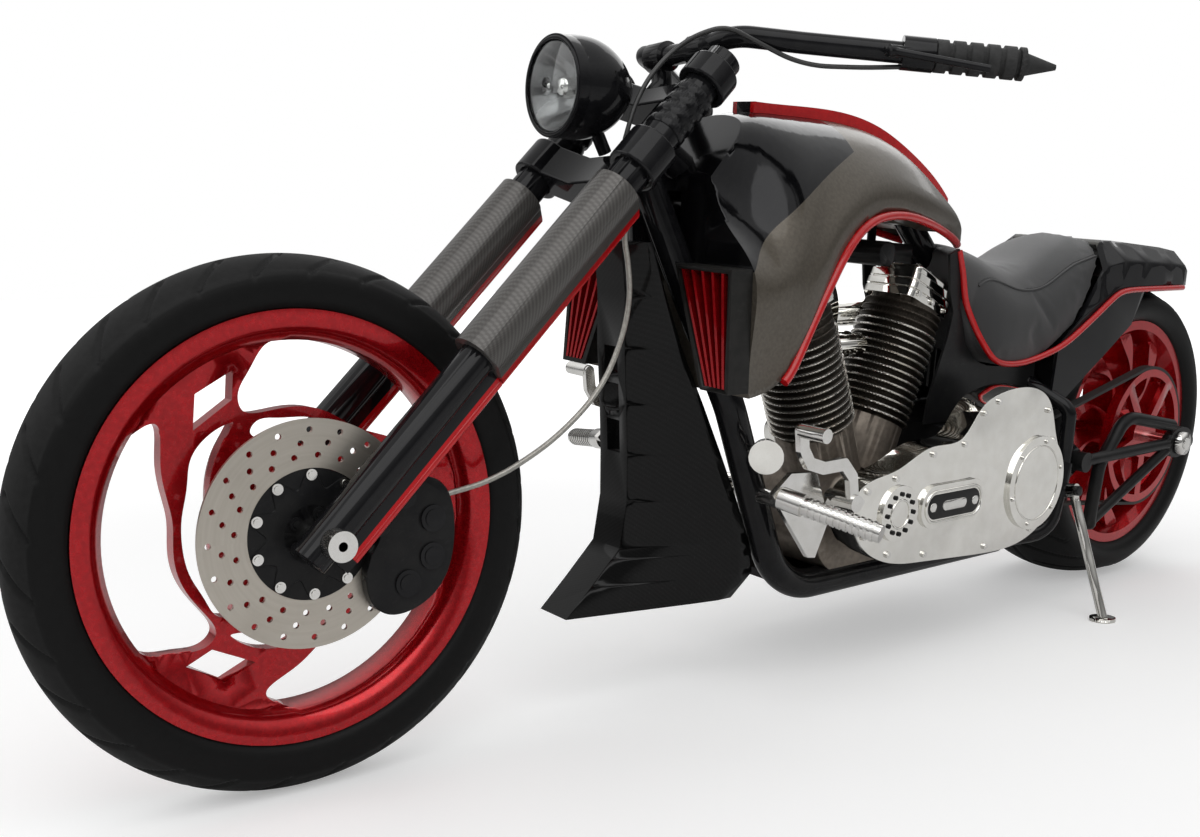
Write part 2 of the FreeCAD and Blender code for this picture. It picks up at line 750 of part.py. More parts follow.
def backbone(grow=0):
    neck_high = on_fork(upper_clamp_start - neck_radius, 0, fork_offset + neck_radius * 0.7)
    return bent_tube([neck_high, at(backbone_mid_x, 0, backbone_z), at(backbone_end_x, 0, backbone_z),
                      at(seat_post_x, 0, seat_post_top), at(seat_post_x, 0, seat_post_low)],
                     backbone_radius + grow, backbone_radius * 5)


def down_tube(side, grow=0):
    # From the neck down in front of the engine, back along the floor and up to the swing arm's pivot.
    neck_low = on_fork(lower_clamp_end + neck_radius, 0, fork_offset + neck_radius * 0.7)
    points = [neck_low, at(down_tube_x, side * down_tube_y, down_tube_z),
              at(down_tube_x + rail_rise, side * rail_y, rail_z), at(rail_end_x, side * rail_y, rail_z)]
    return bent_tube(points, tube_radius + grow, tube_radius * 5)


def upright(side):
    # A slimmer tube from the rail's end out past the belt and up to the swing arm's pivot
    points = [at(rail_end_x - tube_radius, side * rail_y, rail_z), at(rail_turn_x, side * stay_y, rail_z + tube_radius),
              at(stay_x, side * stay_y, pivot_z)]
    return bent_tube(points, upright_radius, upright_radius * 3)


def down_tube_place(z):
    # Fore and aft place of the down tube's centre at a height between its bends
    return down_tube_x + rail_rise * (down_tube_z - z) / (down_tube_z - rail_z)


def upper_stay(side, grow=0):
    # From the seat post back beside the oil tank, then out past the belt and down to the pivot
    points = [at(seat_post_x, 0, stay_top_z), at(seat_post_x + stay_setback, side * stay_inner_y, stay_top_z),
              at(rail_turn_x, side * stay_inner_y, stay_top_z), at(stay_x, side * stay_y, stay_knee_z),
              at(stay_x, side * stay_y, pivot_z)]
    return bent_tube(points, stay_radius + grow, stay_radius * 2)


def main_frame():
    # A neck tube, a backbone, two down tubes that turn into the lower rails, and the seat post.
    neck = rod(on_fork(lower_clamp_end + 3 * seat_gap, 0, fork_offset),
               on_fork(upper_clamp_start - 3 * seat_gap, 0, fork_offset), neck_radius,
               stem_radius + running_clearance)
    parts = [neck, backbone(), down_tube(-1), down_tube(1)]
    plate_front = down_tube_x + rail_rise + tube_radius * 2
    plate_top = crankcase().BoundBox.ZMin - seat_gap
    parts.append(box(at(plate_front, -rail_y, plate_top - engine_plate_thickness), at(gearbox_x, rail_y, plate_top)))
    cross_x = [down_tube_x + 2.2 * rail_rise, seat_post_x, rail_end_x - tube_radius]
    for x in cross_x:
        low = rail_z - tube_radius * 0.3
        parts.append(rod(at(x, -rail_y, low), at(x, rail_y, low), tube_radius * 0.66))
    bores = [rod(on_fork(lower_clamp_start, 0, fork_offset), on_fork(upper_clamp_end, 0, fork_offset),
                 stem_radius + running_clearance)]
    for side in (-1, 1):
        parts.append(upper_stay(side))
        parts.append(upright(side))
        low, high = sorted((side * (stay_y - pivot_plate_thickness), side * (stay_y + seat_gap)))
        plate = spread(pivot_plate_shares, (stay_x, pivot_z), (pivot_plate_length, pivot_plate_height))
        parts.append(slab_y(plate, low, high))
        bores.append(rod(at(pivot_x, 0, pivot_z), at(pivot_x, side * rear_axle_half_length, pivot_z),
                         pivot_radius + running_clearance))
    pivot = stand_pivot()
    axis = stand_axis()
    inner = pivot.sub(axis * (stand_eye_half + seat_gap))
    outer = pivot.add(axis * (stand_eye_half + seat_gap))
    parts.append(rod(pivot.sub(axis * stand_lug_length), inner, stand_eye_radius))
    parts.append(rod(pivot.sub(axis * stand_lug_length), outer, stand_pin_radius))
    parts.append(rod(outer, outer.add(axis * stand_pin_radius), stand_eye_radius * 0.7))
    frame = joined(parts)
    return frame.cut(Part.makeCompound(bores))


seat_post_x = 1364.0
seat_post_top = 640.0
seat_post_low = 450.0
down_tube_x = 700.0
down_tube_y = 100.0
down_tube_z = 470.0
rail_rise = 130.0
rail_end_x = 1455.0
rail_turn_x = 1535.0
stay_x = 1566.0
stay_y = 176.0
stay_setback = 24.0
stay_inner_y = 80.0
stay_top_z = 468.0
stay_knee_z = 418.0
upright_radius = 18.0
engine_plate_thickness = 14.0
pivot_x = 1606.0
pivot_z = 312.0
pivot_radius = 9.0
pivot_plate_thickness = 13.0
pivot_plate_length = 62.0
pivot_plate_height = 84.0
pivot_plate_shares = [(-0.15, -0.5), (0.25, -0.5), (0.9, -0.22), (1.0, 0.0), (0.9, 0.22), (0.25, 0.5), (-0.15, 0.5)]


# Swing arm
arm_radius = 13.0
arm_inner_y = 190.0
arm_outer_y = 212.0
arm_node_x = 1662.0
arm_node_z = 180.0
arm_peak_x = 1748.0
arm_peak_z = 392.0
arm_boss_radius = 20.0
axle_plate_thickness = 16.0
axle_plate_length = 110.0
axle_plate_height = 62.0


def swingarm():
    # Each side is an arched tube, a lower strut and a straight tube that meet at the axle plate.
    x, z = rear_centre
    sides = []
    for side in (-1, 1):
        plate_y = side * arm_outer_y
        low, high = sorted((plate_y, plate_y + side * axle_plate_thickness))
        outline = spread(axle_plate_shares, (x, z), (axle_plate_length, axle_plate_height))
        plate = smooth_slab_y(outline, low, high)
        mid = side * (arm_outer_y + axle_plate_thickness / 2)
        arch = bent_tube([at(arm_node_x, side * arm_inner_y, arm_node_z),
                          at(arm_node_x + arm_radius, side * arm_inner_y, pivot_z - arm_radius),
                          at(arm_peak_x, side * (arm_inner_y + arm_radius * 0.5), arm_peak_z),
                          at(x - axle_nut_radius, mid, z + axle_nut_radius + arm_radius)],
                         arm_radius, arm_radius * 4)
        plate_front = x - axle_nut_radius - arm_radius
        strut = rod(at(arm_node_x, side * arm_inner_y, arm_node_z), at(plate_front, mid, z - arm_radius),
                    arm_radius * 0.8)
        level = rod(at(pivot_x, side * arm_inner_y, pivot_z), at(plate_front, mid, z), arm_radius * 0.9)
        knot = Part.makeSphere(arm_radius * 1.1, at(arm_node_x, side * arm_inner_y, arm_node_z))
        foot = rod(at(pivot_x, side * (stay_y + 2 * seat_gap), pivot_z),
                   at(pivot_x, side * (arm_inner_y + arm_radius), pivot_z), arm_boss_radius)
        shaft = rod(at(pivot_x, side * (stay_y - pivot_plate_thickness), pivot_z),
                    at(pivot_x, side * arm_inner_y, pivot_z), pivot_radius)
        sides.append(joined([plate, arch, strut, level, knot, foot, shaft]))
    arm = Part.makeCompound(sides)
    bore = rod(at(x, -rear_axle_half_length, z), at(x, rear_axle_half_length, z),
               rear_axle_radius + running_clearance)
    return arm.cut(bore)


axle_plate_shares = [(-0.45, 0.1), (-0.2, 0.42), (0.2, 0.5), (0.5, 0.2), (0.56, -0.05), (0.4, -0.3), (0.0, -0.5),
                     (-0.35, -0.3)]


def rear_axle():
    x, z = rear_centre
    axle = rod(at(x, -rear_axle_half_length, z), at(x, rear_axle_half_length, z), rear_axle_radius)
    face = arm_outer_y + axle_plate_thickness + seat_gap
    nuts = [rod(at(x, side * face, z), at(x, side * (face + axle_nut_length), z), axle_nut_radius)
            for side in (-1, 1)]
    return joined([axle] + nuts)


# Scoops beside the chin
scoop_x = 596.0
scoop_length = tank_front - seat_gap - scoop_x
scoop_top = 694.0
scoop_bottom = 512.0
scoop_wall = 7.0
scoop_top_inner = 66.0
scoop_top_outer = 186.0
scoop_low_inner = 136.0
scoop_low_outer = 194.0
louvre_blades = 5
louvre_thickness = 5.0

# Chin fairing: a blade that widens rearward, with a long fold down each side
chin_front = 445.0
chin_length = 335.0
chin_bottom = 149.0
chin_rise = 30.0
chin_height = scoop_top + chin_rise - chin_bottom
chin_half_width = 105.0
chin_nose_share = 0.305
chin_fold = 5.0
chin_section_shares = [
    (0.000, 0.000, 0.900, 0.82), (0.075, 0.135, 0.985, 0.97), (0.143, 0.251, 0.960, 1.00), (0.172, 0.299, 0.940, 1.00),
    (0.300, 0.328, 0.835, 0.99), (0.430, 0.316, 0.725, 0.95), (0.570, 0.294, 0.610, 0.88), (0.720, 0.264, 0.480, 0.80),
    (0.860, 0.250, 0.385, 0.72), (1.000, 0.212, 0.300, 0.66)]


def chin_fairing():
    # Level sections: (height, front, rear, half width behind), as shares; the fold stands a little proud.
    wires = []
    for height, front, rear, tail in chin_section_shares:
        z = chin_bottom + height * chin_height
        x0 = chin_front + front * chin_length
        x1 = chin_front + rear * chin_length
        nose = chin_nose_share * chin_half_width
        side = tail * chin_half_width
        slope = (side - nose) / (x1 - x0)
        half = [(x0, nose)]
        for share in chin_fold_shares:
            x = x0 + (x1 - x0) * share
            half.append((x, nose + slope * (x - x0) + chin_fold))
        half.append((x1, side))
        outline = [at(x, y, z) for x, y in half] + [at(x, -y, z) for x, y in reversed(half)]
        wires.append(Part.makePolygon(outline + [outline[0]]))
    body = Part.makeLoft(wires, True, True)
    vents = []
    for low, high in chin_vent_shares:
        z0 = chin_bottom + low * chin_height
        z1 = chin_bottom + high * chin_height
        vents.append(box(at(chin_front, -chin_vent_half_width, z0),
                         at(chin_front + chin_length * chin_vent_depth_share, chin_vent_half_width, z1)))
    tubes = [down_tube(side, seat_gap) for side in (-1, 1)] + [foot_post(side, seat_gap) for side in (-1, 1)]
    return body.cut(Part.makeCompound(tubes)).cut(joined(vents) if len(vents) == 1 else Part.makeCompound(vents))


chin_fold_shares = [0.72, 0.90]
chin_vent_half_width = 15.0
chin_vent_depth_share = 0.37
chin_vent_shares = [(0.43, 0.52), (0.54, 0.62), (0.64, 0.72)]


tank_section_shares = [
    (0.00, [(0.0, 0.96), (0.26, 0.945), (0.41, 0.81), (0.62, 0.62), (0.97, 0.45), (1.0, 0.24), (1.0, 0.01)]),
    (0.14, [(0.0, 1.0), (0.31, 0.97), (0.54, 0.835), (0.77, 0.65), (0.96, 0.475), (0.985, 0.285), (0.965, 0.107)]),
    (0.30, [(0.0, 1.022), (0.36, 0.975), (0.62, 0.86), (0.795, 0.71), (0.88, 0.62), (0.89, 0.56), (0.88, 0.50)]),
    (0.443, [(0.0, 1.018), (0.385, 0.965), (0.64, 0.85), (0.765, 0.76), (0.79, 0.72), (0.79, 0.69), (0.785, 0.655)]),
    (0.586, [(0.0, 0.997), (0.385, 0.935), (0.605, 0.825), (0.70, 0.75), (0.71, 0.72), (0.71, 0.70), (0.705, 0.672)]),
    (0.729, [(0.0, 0.93), (0.333, 0.87), (0.51, 0.775), (0.60, 0.71), (0.605, 0.685), (0.605, 0.66), (0.60, 0.636)]),
    (0.893, [(0.0, 0.78), (0.26, 0.74), (0.39, 0.685), (0.43, 0.65), (0.43, 0.63), (0.43, 0.61), (0.42, 0.575)]),
    (1.0, [(0.0, 0.60), (0.10, 0.595), (0.18, 0.585), (0.22, 0.575), (0.23, 0.566), (0.23, 0.555), (0.23, 0.543)])]


def tank_sections():
    wires = []
    for x_share, half in tank_section_shares:
        x = tank_front + x_share * tank_length
        right = [at(x, y * tank_half_width, tank_low + z * tank_depth) for y, z in half]
        left = [at(p.x, -p.y, p.z) for p in reversed(right[1:])]
        points = left + right
        curve = Part.BSplineCurve()
        curve.interpolate(points)
        wires.append(Part.Wire([curve.toShape(), Part.LineSegment(points[-1], points[0]).toShape()]))
    return wires


def fuel_tank():
    # A lofted shell whose wings reach down in front of the engine; the underside is open to the engine.
    body = Part.makeLoft(tank_sections(), True, False)
    plan = []
    for x_share, y_share in bay_shares:
        plan.append((tank_front + x_share * tank_length, y_share * tank_half_width - tank_wall))
    outline = plan + [(x, -y) for x, y in reversed(plan)]
    bay = slab_z(outline, tank_low - tank_depth, tank_floor)
    half = backbone_radius + seat_gap
    tunnel = box(at(tank_front - cut_overrun, -half, tank_floor - cut_overrun), at(backbone_end_x, half, backbone_z))
    reach = fork_tube_end * 2
    swing = face_of([on_fork(0, -reach, tank_swing_gap), on_fork(reach, -reach, tank_swing_gap),
                     on_fork(reach, reach, tank_swing_gap), on_fork(0, reach, tank_swing_gap)])
    swing = swing.extrude(fork_back * -reach)
    tubes = Part.makeCompound([down_tube(side, seat_gap) for side in (-1, 1)])
    return body.cut(bay).cut(tunnel).cut(backbone(seat_gap)).cut(swing).cut(tubes)


bay_shares = [(0.13, 0.80), (0.145, 0.81), (0.30, 0.88), (0.443, 0.78), (0.586, 0.70), (0.729, 0.59), (0.893, 0.41),
              (1.05, 0.22)]

# Spine strip along the tank's top
spine_half_width = 24.0
spine_height = 26.0
spine_shares = [(0.21, 1.058), (0.37, 1.058), (0.51, 1.052), (0.657, 1.01), (0.80, 0.915), (0.943, 0.772),
                (0.971, 0.732)]


def tank_spine():
    top = spread(spine_shares, (tank_front, tank_low), (tank_length, tank_depth))
    curve = Part.BSplineCurve()
    curve.interpolate([at(x, -spine_half_width, z) for x, z in top])
    low = Part.BSplineCurve()
    low.interpolate([at(x, -spine_half_width, z - spine_height) for x, z in top])
    ends = [Part.LineSegment(at(x, -spine_half_width, z), at(x, -spine_half_width, z - spine_height)).toShape()
            for x, z in (top[0], top[-1])]
    section = Part.Face(Part.Wire(Part.__sortEdges__([curve.toShape(), low.toShape()] + ends)))
    strip = section.extrude(at(0, 2 * spine_half_width, 0))
    shell = Part.makeLoft(tank_sections(), True, False)
    shell.translate(at(0, 0, seat_gap))
    return strip.cut(shell)


def scoop_corners(x, inset):
    return [at(x, scoop_top_inner + inset, scoop_top - inset), at(x, scoop_top_outer - inset, scoop_top - inset),
            at(x, scoop_low_outer - inset, scoop_bottom + inset), at(x, scoop_low_inner + inset, scoop_bottom + inset)]


def side_scoops():
    # Open ducts, narrower at the bottom, that hold slanted slats.
    outer = face_of(scoop_corners(scoop_x, 0)).extrude(at(scoop_length, 0, 0))
    hole = face_of(scoop_corners(scoop_x - cut_overrun, scoop_wall)).extrude(at(scoop_length - scoop_wall, 0, 0))
    return pair(outer.cut(hole))


def scoop_louvres():
    blades = []
    inset = scoop_wall + seat_gap
    top_inner, top_outer, low_outer, low_inner = scoop_corners(scoop_x, inset)
    for blade in range(louvre_blades):
        share = (blade + 0.35) / louvre_blades
        top = top_inner.add((top_outer.sub(top_inner)) * share)
        low = low_inner.add((low_outer.sub(low_inner)) * share)
        across = at(0, louvre_thickness, 0)
        back = at(scoop_length * 0.6, 0, 0)
        face = face_of([top, top.add(across), low.add(across), low])
        blades.append(face.extrude(back))
    return Part.makeCompound(blades + [mirrored(blade) for blade in blades])


# Seat, tail and side panels share one line: the lower edge of the seat, then the edge of the tail
seat_front = 1282.0
seat_length = 493.0
seat_low = 503.0
seat_height = 241.0
seat_half_width = 140.0
seat_section_shares = [
    (0.000, 0.657, 0.527, 0.917), (0.040, 0.771, 0.290, 0.917), (0.080, 0.886, 0.150, 0.913), (0.128, 0.964, 0.054, 0.900),
    (0.229, 1.000, 0.000, 0.842), (0.391, 1.000, 0.008, 0.751), (0.594, 1.000, 0.183, 0.805), (0.797, 1.000, 0.402, 0.954),
    (0.929, 1.000, 0.536, 1.020), (1.000, 1.000, 0.590, 1.033)]
seat_arch_shares = [(1.0, 0.0), (0.97, 0.35), (0.86, 0.68), (0.62, 0.90), (0.32, 0.985)]
seat_split_x = 1745.0
seat_split_setback = 123.0
seat_split_drop = 170.0


def seat_edge():
    # Places along the seat's lower right edge
    return [at(seat_front + x * seat_length, width * seat_half_width, seat_low + low * seat_height)
            for x, width, low, high in seat_section_shares]


def seat_split(gap):
    # The slanted face where the seat meets the tail; gap moves it rearward
    along = unit(at(-seat_split_setback, 0, -seat_split_drop))
    top = at(seat_split_x + gap, 0, seat_low + seat_height)
    reach = seat_length * 2
    outline = [top.sub(along * reach), top.add(along * reach), top.add(along * reach).add(at(reach * 2, 0, 0)),
               top.sub(along * reach).add(at(reach * 2, 0, 0))]
    behind = face_of(outline).extrude(at(0, reach, 0))
    behind.translate(at(0, -reach / 2, 0))
    return behind


def seat():
    # Arched sections along the stepped saddle, cut off at the slanted joint with the tail.
    wires = []
    for x_share, width, low, high in seat_section_shares:
        x = seat_front + x_share * seat_length
        half = width * seat_half_width
        z0 = seat_low + low * seat_height
        z1 = seat_low + high * seat_height
        right = [at(x, half * y, z0 + (z1 - z0) * z) for y, z in seat_arch_shares]
        points = right + [at(x, 0, z1)] + [at(p.x, -p.y, p.z) for p in reversed(right)]
        curve = Part.BSplineCurve()
        curve.interpolate(points)
        wires.append(Part.Wire([curve.toShape(), Part.LineSegment(points[-1], points[0]).toShape()]))
    body = Part.makeLoft(wires, True, False)
    return body.cut(seat_split(0)).cut(backbone(seat_gap)).cut(rocker_space())


tail_front = 1600.0
tail_length = 450.0
tail_low = 646.0
tail_height = 87.0
tail_half_width = 146.0
tail_wall = 9.0
tail_section_shares = [
    (0.000, 0.959, -0.95, 0.76), (0.222, 0.973, -0.39, 1.08), (0.378, 0.985, -0.035, 1.08), (0.556, 1.000, 0.0, 1.02),
    (0.800, 0.985, 0.0, 0.94), (0.956, 0.950, 0.0, 0.85), (1.000, 0.920, 0.03, 0.62)]
tail_panel_shares = [
    (-0.115, -2.25), (-0.055, -2.62), (0.278, -1.56), (0.489, -0.87), (0.589, 0.05), (0.500, 0.15), (0.378, 0.10),
    (0.271, -0.15), (0.060, -0.66), (-0.10, -1.22)]


def tail_sections(inset):
    # Inset 0 gives the outside; a wall's thickness gives the hollow, which reaches down through the underside
    wires = []
    for x_share, width, low, high in tail_section_shares:
        x = tail_front + x_share * (tail_length - inset)
        half = width * tail_half_width - inset
        z0 = tail_low + low * tail_height
        z1 = z0 + (high - low) * tail_height - inset
        corner = (z1 - z0) * 0.4
        if inset:
            z0 -= tail_height * 2
        points = [at(x, -half, z0), at(x, -half, z1 - corner), at(x, -half + corner, z1), at(x, half - corner, z1),
                  at(x, half, z1 - corner), at(x, half, z0)]
        wires.append(Part.makePolygon(points + [points[0]]))
    return Part.makeLoft(wires, True, True)


def rear_fender():
    # A flat-topped shell over the tyre with a closed rear end and a panel down each side to the frame.
    outline = spread(tail_panel_shares, (tail_front, tail_low), (tail_length, tail_height))
    inner = tail_half_width - tail_wall
    shell = tail_sections(0).cut(tail_sections(tail_wall)).common(seat_split(seat_gap))
    panel = slab_y(outline, inner, inner + tail_wall * 0.8)
    whole = joined([shell, panel, mirrored(panel)])
    return whole.cut(seat()).cut(Part.makeCompound([upper_stay(side, seat_gap) for side in (-1, 1)]))


# Plates that close the space under the seat
cover_y = 96.0
cover_thickness = 5.0
side_cover_shares = [
    (-0.156, -0.415), (-0.142, -0.220), (-0.061, 0.237), (-0.041, 0.425), (-0.070, 0.560), (-0.095, 0.860),
    (-0.040, 0.905), (-0.014, 0.720), (0.004, 0.440), (0.055, 0.180), (0.125, 0.050), (0.210, -0.006), (0.300, -0.020),
    (0.540, 0.020), (0.540, -0.415)]


def side_covers():
    outline = spread(side_cover_shares, (seat_front, seat_low), (seat_length, seat_height))
    top = [(x, max(z, gearbox_top + seat_gap)) for x, z in outline]
    plate = slab_y(top, cover_y, cover_y + cover_thickness)
    stays = Part.makeCompound([upper_stay(side, seat_gap) for side in (-1, 1)])
    hollow = seat()
    lifted = seat()
    lifted.translate(at(0, 0, -seat_gap))
    return pair(plate).cut(hollow).cut(lifted).cut(stays).cut(body_trim())


# Bright trim along the lower edge of the tank's wings and of the seat and tail
wing_trim_radius = 8.0
trim_radius = 6.5


def body_trim():
    strips = []
    reach = wing_trim_radius + seat_gap
    edge = []
    for x_share, half in tank_section_shares[1:-1]:
        y, z = half[-1]
        edge.append(at(tank_front + x_share * tank_length, y * tank_half_width + reach * 0.3,
                       tank_low + z * tank_depth - reach))
    strips.append(bent_tube(edge, wing_trim_radius))
    reach = trim_radius + seat_gap
    rail = [p.add(at(0, reach, 0)) for p in seat_edge()[:-1]]
    for x_share, width, low, high in tail_section_shares[2:-1]:
        rail.append(at(tail_front + x_share * tail_length, width * tail_half_width + reach, tail_low + low * tail_height))
    strips.append(bent_tube(rail, trim_radius))
    body = Part.makeCompound([fuel_tank(), seat(), rear_fender()])
    right = Part.makeCompound(strips).cut(body)
    return pair(right)


# Engine
engine_x = 1062.0
engine_y = -22.0
crank_z = 232.0
vee_half_angle = 22.5
cylinder_radius = 62.0
fin_radius = 76.0
fin_thickness = 3.2
fin_pitch = 13.5
fins = 13
cylinder_base = 190.0
head_height = 46.0
rocker_length = 126.0
rocker_width = 112.0
rocker_height = 62.0
case_length = 300.0
case_half_width = 100.0
case_low = 169.0
case_top_share = 0.82


def cylinder_axis(side):
    lean = math.radians(vee_half_angle) * side
    return at(math.sin(lean), 0, math.cos(lean))


def crank_point():
    return at(engine_x, engine_y, crank_z)


def cylinders():
    shapes = []
    for side in (-1, 1):
        axis = cylinder_axis(side)
        base = crank_point().add(axis * cylinder_base)
        length = fins * fin_pitch
        parts = [rod(base, base.add(axis * (length + head_height)), cylinder_radius)]
        for fin in range(fins + 3):
            low = base.add(axis * (fin_pitch * (fin + 0.5)))
            grow = 1.0 if fin < fins else 0.94
            parts.append(rod(low, low.add(axis * fin_thickness), fin_radius * grow))
        shapes.append(joined(parts))
    return Part.makeCompound(shapes)


def rocker_boxes():
    shapes = []
    for side in (-1, 1):
        axis = cylinder_axis(side)
        base = crank_point().add(axis * (cylinder_base + fins * fin_pitch + head_height + seat_gap))
        layers = []
        level = 0
        for height_share, size_share in rocker_layer_shares:
            height = rocker_height * height_share
            half_x = rocker_length * size_share / 2
            half_y = rocker_width * size_share / 2
            block = box(at(-half_x, -half_y, level), at(half_x, half_y, level + height))
            upright_edges = [e for e in block.Edges if e.BoundBox.ZLength > height / 2]
            layers.append(block.makeFillet(rocker_width * 0.12, upright_edges))
            level += height
        whole = joined(layers)
        rim = [e for e in whole.Edges if e.BoundBox.ZMin > level - running_clearance]
        whole = whole.makeFillet(rocker_height * 0.1, rim)
        whole.rotate(at(0, 0, 0), at(0, 1, 0), vee_half_angle * side)
        whole.translate(base)
        shapes.append(whole)
    return Part.makeCompound(shapes)


rocker_layer_shares = [(0.22, 1.0), (0.06, 0.93), (0.20, 1.0), (0.06, 0.93), (0.22, 0.98), (0.24, 0.88)]


def rocker_space():
    # What the rear rocker box and a little room round it take up
    block = box(at(-rocker_length / 2, -rocker_width / 2, 0), at(rocker_length / 2, rocker_width / 2, rocker_height))
    block = block.makeOffsetShape(cover_step, running_clearance)
    block.rotate(at(0, 0, 0), at(0, 1, 0), vee_half_angle)
    reach = cylinder_base + fins * fin_pitch + head_height + seat_gap
    block.translate(crank_point().add(cylinder_axis(1) * reach))
    return block


def crankcase():
    half = case_length / 2
    outline = [(engine_x + u * half, crank_z + v * (crank_z - case_low)) for u, v in case_shares]
    block = smooth_slab_y(outline, engine_y - case_half_width, engine_y + case_half_width)
    seats = []
    for side in (-1, 1):
        axis = cylinder_axis(side)
        seats.append(rod(crank_point().add(axis * (cylinder_base * 0.5)), crank_point().add(
            axis * (cylinder_base - seat_gap)), cylinder_radius * 1.12))
    rails = Part.makeCompound([down_tube(side, seat_gap) for side in (-1, 1)])
    return joined([block] + seats).cut(rails)


case_shares = [(-1.0, 0.0), (-0.86, 0.9), (-0.62, 1.75), (0.0, 1.55), (0.62, 1.75), (0.9, 0.9), (1.0, 0.0),
               (0.8, -0.8), (0.0, -1.0), (-0.8, -0.85)]


# Primary cover and transmission
primary_x = 875.0
primary_length = 605.0
primary_z = 185.0
primary_height = 290.0
primary_inner_y = -170.0
primary_outer_y = -222.0
primary_shares = [(0.0, 0.48), (0.03, 0.24), (0.15, 0.09), (0.32, 0.04), (0.62, 0.0), (0.86, 0.05), (0.97, 0.22),
                  (1.0, 0.46), (0.95, 0.68), (0.90, 0.90), (0.62, 1.0), (0.54, 0.93), (0.46, 0.76), (0.32, 0.73),
                  (0.16, 0.62), (0.04, 0.57)]
clutch_x = 1392.0
clutch_z = 300.0
clutch_radius = 88.0
boss_x = 988.0
boss_z = 292.0
boss_radius = 48.0
cover_step = 6.0
inspection_x = 1137.0
inspection_z = 292.0
inspection_half_length = 92.0
inspection_half_height = 38.0


def primary_cover():
    outline = spread(primary_shares, (primary_x, primary_z), (primary_length, primary_height))
    body = smooth_slab_y(outline, primary_outer_y, primary_inner_y)
    step = cover_step
    clutch = ring_y((clutch_x, clutch_z), primary_outer_y - step, primary_outer_y + step, clutch_radius)
    boss = ring_y((boss_x, boss_z), primary_outer_y - step, primary_outer_y + step, boss_radius)
    half = inspection_half_length - inspection_half_height
    oval = joined([ring_y((inspection_x - half, inspection_z), primary_outer_y - step, primary_outer_y + step,
                          inspection_half_height),
                   ring_y((inspection_x + half, inspection_z), primary_outer_y - step, primary_outer_y + step,
                          inspection_half_height),
                   box(at(inspection_x - half, primary_outer_y - step, inspection_z - inspection_half_height),
                       at(inspection_x + half, primary_outer_y + step, inspection_z + inspection_half_height))])
    inner = box(at(primary_x + primary_length * 0.2, primary_inner_y - step, primary_z + primary_height * 0.2),
                at(primary_x + primary_length * 0.5, engine_y - case_half_width - seat_gap,
                   primary_z + primary_height * 0.5))
    return joined([body, clutch, boss, oval, inner])


gearbox_x = 1233.0
gearbox_length = 237.0
gearbox_low = 181.0
gearbox_top = 400.0
gearbox_left = -118.0
gearbox_right = 96.0


def transmission():
    block = box(at(gearbox_x, gearbox_left, gearbox_low), at(gearbox_x + gearbox_length, gearbox_right, gearbox_top))
    pulley = ring_y(drive_centre, belt_low, belt_high, drive_pulley_radius)
    shaft = ring_y(drive_centre, belt_low - cover_step, gearbox_left + cover_step, drive_pulley_radius * 0.4)
    link = box(at(gearbox_x, primary_inner_y + seat_gap, gearbox_low), at(gearbox_x + gearbox_length * 0.3,
               gearbox_left + cover_step, gearbox_top - cover_step * 4))
    return joined([block, pulley, shaft, link])


# Oil tank under the seat
oil_x = 1412.0
oil_length = 112.0
oil_low = 400.3
oil_top = 500.0
oil_half_width = 62.0


def oil_tank():
    body = box(at(oil_x, -oil_half_width, oil_low), at(oil_x + oil_length, oil_half_width, oil_top))
    return body.makeFillet(oil_half_width * 0.12, [e for e in body.Edges if e.BoundBox.ZMin > oil_low])


# Right side of the engine
def cam_cover():
    face = engine_y + case_half_width + seat_gap
    outline = [(engine_x + u * case_length / 2, crank_z + v * (crank_z - case_low)) for u, v in cam_shares]
    return smooth_slab_y(outline, face, face + cam_depth)


cam_depth = 34.0
cam_shares = [(-0.62, 0.0), (-0.4, 0.75), (0.1, 1.15), (0.55, 0.6), (0.6, -0.1), (0.3, -0.6), (-0.35, -0.65)]
cleaner_radius = 88.0
cleaner_depth = 58.0
cleaner_z = 590.0
intake_radius = 24.0


def air_cleaner():
    y0 = engine_y + rocker_width * 0.85
    x = engine_x
    can = ring_y((x, cleaner_z), y0, y0 + cleaner_depth, cleaner_radius)
    throat = rod(at(x, engine_y, cleaner_z - cleaner_radius * 0.5), at(x, y0 + cover_step, cleaner_z - cleaner_radius * 0.5),
                 intake_radius)
    manifold = rod(at(x - intake_spread, engine_y, cleaner_z - cleaner_radius * 0.5),
                   at(x + intake_spread, engine_y, cleaner_z - cleaner_radius * 0.5), intake_radius * 0.8)
    return joined([can, throat, manifold])


intake_spread = 36.0
pipe_radius = 24.0
pipe_bore = 21.0
muffler_radius = 34.0
exhaust_y = 232.0
muffler_end_x = 1560.0
muffler_start_x = 1180.0
upper_pipe_z = 330.0
lower_pipe_z = 236.0


